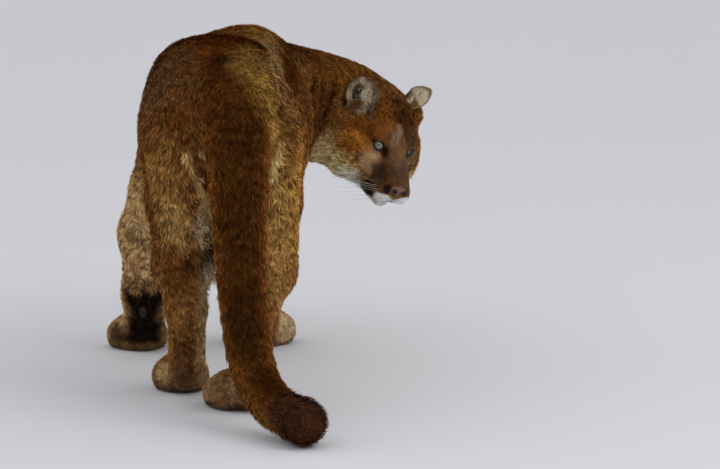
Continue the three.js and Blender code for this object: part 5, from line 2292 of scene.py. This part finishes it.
@dataclass
class Nose:
    """The nose leather with its nostrils, set into the end of the muzzle."""

    cell: float = 0.9
    pink: Triple = (122, 76, 64)
    edge: Triple = (44, 30, 25)
    below: Triple = (74, 46, 38)
    above: Triple = (60, 40, 32)
    # the colour of the painted shade in the nostrils and the groove
    pit: Triple = (26, 19, 17)
    groove: Rod = Rod((0, 90.5, -38), 0.9, (0, 85, -66), 1.0)

    def masses(self) -> list[Egg]:
        """The nose's lumps."""
        wings = [Egg((s * 10, 71, -43), (9.5, 12.5, 10)) for s in (1, -1)]
        return [Egg((0, 73, -41), (11, 14.5, 11)), *wings, Egg((0, 75, -53), (6, 9.5, 9))]

    def nostril(self, s: int) -> tuple[Egg, Rod]:
        """The hollow of one nostril and the slit beside it."""
        hollow = Egg((10.2 * s, 85.5, -44.5), (6.0, 7.5, 5.2))
        return hollow, Rod((10 * s, 84.5, -45.5), 3.0, (18.5 * s, 74, -48), 2.2)

    def distance(self, q: Array) -> Array:
        """Distance in the head's frame."""
        d = joined(self.masses(), q, 5.0)
        for s in (1, -1):
            for form in self.nostril(s):
                d = carved(d, form.distance(q), 1.6)
        return carved(d, self.groove.distance(q), 1.2)

    def tones(self, q: Array) -> Array:
        """Linear tones at points of the head's frame, darker round the edge, with painted shade in
        the nostrils and the groove.
        """
        # painted shade in the groove and down in the nostrils
        pits = 0.8 * (1.0 - eased(self.groove.distance(q), 0.2, 1.4))
        for s in (1, -1):
            pit = np.min([form.distance(q) for form in self.nostril(s)], axis=0)
            pits = np.maximum(pits, 1.0 - eased(pit, 0.4, 3.0))
        tones = np.tile(linear(self.pink), (len(q), 1))
        for tone, share in (
            (self.edge, 0.9 * eased(np.abs(q[:, 0]), 11.0, 17.0)),
            (self.below, 0.8 * eased(-q[:, 2], 46.0, 54.0)),
            (self.above, 0.8 * eased(q[:, 2], -37.0, -31.0)),
            (self.pit, pits),
        ):
            tones = toned(tones, tone, share)
        return np.clip(tones, *LEATHER_RANGE)

    def build(self, finish: bpy.types.Material) -> bpy.types.Object:
        """The nose's mesh in its leather.

        Args:
            finish: the leather.

        Returns:
            The piece.
        """
        points, quads = wrapped(self.distance, (-26, 50, -70), (26, 94, -24), self.cell)
        mesh = mesh_of("nose", HEAD.outside(points), quads)
        add_tones(mesh, self.tones(points))
        unwrapped(mesh)
        set_points(mesh, in_frame(points_of(mesh)))
        piece = shown("nose", mesh, finish)
        return piece


@dataclass(frozen=True)
class NoseFinish:
    """Moist pebbled nose leather in the piece's own tones."""

    name: str = "nose_leather"

    def material(self) -> bpy.types.Material:
        """The leather's material."""
        b = Bench(self.name)
        pebbles = b.pebbles(1100.0, 1.0)
        inputs = {
            "Base Color": b.tinted(b.tone(), 1.15 - pebbles * 0.45),
            "Roughness": 0.42 + pebbles * 0.15,
            "Coat Weight": 0.15,
            "Coat Roughness": 0.25,
            "Normal": b.bump(1.0 - pebbles, 0.0003),
        }
        return b.finished(inputs)


@dataclass
class Whiskers:
    """The whiskers of both lips."""

    rows: int = 4
    per_row: int = 3
    sides: int = 4
    seed: int = 41
    sunk: float = 1.5  # how deep each is rooted
    thick: float = 0.24
    droop: float = 0.16  # as a share of its length

    def line(self, root: Array, way: Array, long: float, droop: float) -> Array:
        """One whisker's centre line on the bench."""
        t = np.linspace(0, 1, 9)[:, None]
        sag = np.array((0.0, -0.35, -1.0))
        q = root + unit(way) * t * long + sag * (t * t) * droop
        return HEAD.outside(q)

    def build(self, finish: bpy.types.Material) -> bpy.types.Object:
        """All whiskers joined as one piece.

        Args:
            finish: their material.

        Returns:
            The piece.
        """
        rng = np.random.default_rng(self.seed)
        pieces = []
        for s, row, i in np.ndindex(2, self.rows, self.per_row):
            s = 1 - 2 * s
            start = np.array((s * (24 + 2.3 * i), 66 - 8.5 * i - 2.5 * row, -58 - 5.2 * row - i))
            long = float(rng.uniform(42, 92)) * (0.75 + 0.08 * i)
            way = np.array((s * (0.9 - 0.03 * i), -0.42 - 0.06 * i, -0.22 - 0.12 * row))
            way = way + rng.normal(0, 0.08, 3)
            root = CLAY.settled(HEAD.outside(start[None]), np.array([-self.sunk]), rounds=6)
            line = self.line(HEAD.inside(root)[0], way, long, self.droop * long)
            radii = self.thick * (1.0 - np.linspace(0, 1, len(line)) ** 1.5 * 0.85)
            pieces.append(tube("hair", line, radii, finish, self.sides, False))
        whole = as_one("whiskers", pieces)
        return whole


@dataclass
class Feet:
    """Claw tips and pads of the four feet, and the pads behind the wrists."""

    claw_length: float = 12.0
    claw_radius: float = 3.2
    claw_drop: float = 10.0
    pad_level: float = 6.0
    pad_square: float = 0.85  # less than 1 for fuller pads
    toe_pad: Triple = (9.5, 13, 7)
    sole_pad: Triple = (24, 19, 8)
    wrist_pad: Triple = (7.5, 6.5, 11.0)

    def claws(self, finish: bpy.types.Material) -> bpy.types.Object:
        """Hooked claws that just show between the toes' hair.

        Args:
            finish: their horn.

        Returns:
            The piece.
        """
        t = np.linspace(0, 1, 8)
        drop = np.array((0, 0, -self.claw_drop)) * (t**2)[:, None]
        radii = self.claw_radius * (1.0 - t**1.4 * 0.93)
        pieces = []
        for leg in LEGS.values():
            wide, long = leg.half
            along = np.array(leg.axes()[1])
            for a, b in leg.toe_places:
                root = np.array(leg.on_paw(a * wide, b * long + 20.0, 25.0))
                line = root + along * t[:, None] * self.claw_length + drop
                pieces.append(tube("claw", line, radii, finish, 10, False))
        whole = as_one("claws", pieces)
        return whole

    def pads(self, finish: bpy.types.Material) -> bpy.types.Object:
        """The pads that the animal stands on, flat below, and the wrist pads.

        Args:
            finish: their leather.

        Returns:
            The piece.
        """
        eggs = []
        for name, leg in LEGS.items():
            wide, long = leg.half
            axes = leg.axes()
            for a, b in leg.toe_places:
                at = leg.on_paw(a * wide * 0.92, b * long * 0.98, self.pad_level)
                eggs.append(Egg(at, self.toe_pad, axes))
            eggs.append(Egg(leg.on_paw(0, -10, self.pad_level), self.sole_pad, axes))
            if name.startswith("fore"):
                x, y, _ = leg.ankle[0]
                eggs.append(Egg((x + 4.0, y + 41.0, 90.0), self.wrist_pad))
        parts = []
        for egg in eggs:
            axes = np.eye(3) if egg.axes is None else np.array(egg.axes)
            piece = ball(24, 16, 1.0)
            points = points_of(piece.data)
            points = np.sign(points) * np.abs(points) ** self.pad_square
            place = np.array(egg.at) + (points * np.array(egg.half)) @ axes
            place[:, 2] = np.maximum(place[:, 2], 0.0)
            set_points(piece.data, in_frame(place))
            piece.data.materials.append(finish)
            parts.append(piece)
        whole = as_one("pads", parts)
        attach(whole, "root")
        return whole


@dataclass(frozen=True)
class Lamp:
    """A soft square light: its name, place, size, power and colour."""

    name: str
    at: Triple
    size: float
    power: float
    tone: Triple


@dataclass
class Studio:
    """The floor, the lights and the camera."""

    camera_at: Triple = (0.26519, 7.35056, 1.32421)
    right: Triple = (-0.99834, 0.05756, 0.0)
    up: Triple = (-0.00801, -0.13894, 0.99027)
    lens: float = 190.75
    floor_half: float = 40.0
    aim: Triple = (0.0, 0.1, 0.35)  # what the lights face
    lamps: tuple[Lamp, ...] = (
        Lamp("key", (-3.2, 2.6, 3.6), 3.0, 62.0, (1.0, 0.97, 0.92)),
        Lamp("fill", (3.4, 3.6, 1.8), 4.0, 16.0, (1.0, 0.98, 0.95)),
    )
    sky: tuple[float, ...] = (0.97, 0.98, 1.0, 1.0)
    sky_strength: float = 0.9

    def floor(self, finish: bpy.types.Material) -> None:
        """A wide plain floor just under the soles."""
        only()
        bpy.ops.mesh.primitive_plane_add(size=2 * self.floor_half, location=(0, 0, -0.0005))
        floor = bpy.context.object
        floor.name = "studio_floor"
        bpy.ops.object.transform_apply(location=True, rotation=True, scale=True)
        floor.data.materials.append(finish)
        floor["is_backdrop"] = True

    def camera(self) -> None:
        """The camera at the photograph's place."""
        data = bpy.data.cameras.new("view")
        data.sensor_width, data.lens = 36.0, self.lens
        data.clip_end = 200.0
        camera = bpy.data.objects.new("view", data)
        bpy.context.scene.collection.objects.link(camera)
        right, up = unit(np.array(self.right)), unit(np.array(self.up))
        back = np.cross(right, up)
        turn = Matrix((right, up, back)).transposed().to_4x4()
        turn.translation = self.camera_at
        camera.matrix_world = turn
        bpy.context.scene.camera = camera

    def light(self, lamp: Lamp) -> None:
        """One light that faces the animal."""
        data = bpy.data.lights.new(lamp.name, "AREA")
        data.size, data.energy, data.color = lamp.size, lamp.power, lamp.tone
        made = bpy.data.objects.new(lamp.name, data)
        bpy.context.scene.collection.objects.link(made)
        back = unit(np.array(lamp.at) - np.array(self.aim))
        right = unit(np.cross((0.0, 0.0, 1.0), back))
        turn = Matrix((right, np.cross(back, right), back)).transposed().to_4x4()
        turn.translation = lamp.at
        made.matrix_world = turn

    def build(self) -> None:
        """The whole studio."""
        self.floor(FloorFinish().material())
        self.camera()
        for lamp in self.lamps:
            self.light(lamp)
        world = bpy.data.worlds.new("studio")
        world.use_nodes = True
        sky = world.node_tree.nodes["Background"]
        sky.inputs["Color"].default_value = self.sky
        sky.inputs["Strength"].default_value = self.sky_strength
        bpy.context.scene.world = world
        bpy.context.scene.view_settings.view_transform = "Standard"


def main() -> None:
    """Builds the animal and the studio."""
    logging.basicConfig(level=logging.INFO, format="%(message)s")
    Studio().build()
    hair = HairFinish().material()
    under = SkinFinish().material()
    skin = Skin()
    mesh = skin.build()
    coat = Coat()
    coat.build(mesh, hair)
    skin.dress(under)
    iris = IrisFinish().material()
    rim = LeatherFinish("lid_rim", (12, 9, 8), (26, 19, 16), 0.25, wet=0.6).material()
    for form in EYES:
        eye = Eye(form)
        eye.build(iris)
        eye.lids(rim)
    Nose().build(NoseFinish().material())
    for form in EARS:
        ear = Ear(form)
        ear.build(under)
        ear.hair(hair, coat)
    Whiskers().build(HornFinish("whisker", (200, 192, 176), (236, 232, 222), 0.3).material())
    feet = Feet()
    feet.claws(HornFinish("claw", (70, 60, 50), (150, 136, 116)).material())
    feet.pads(LeatherFinish("pad", (38, 20, 15), (66, 32, 24), 0.7, 500.0).material())
    sizes = {"cad": CAD_BOX, "visual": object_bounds()}
    plain = {k: [[float(x) for x in corner] for corner in v] for k, v in sizes.items()}
    LOG.info("sizes: %s", plain)


if __name__ == "__main__":
    main()
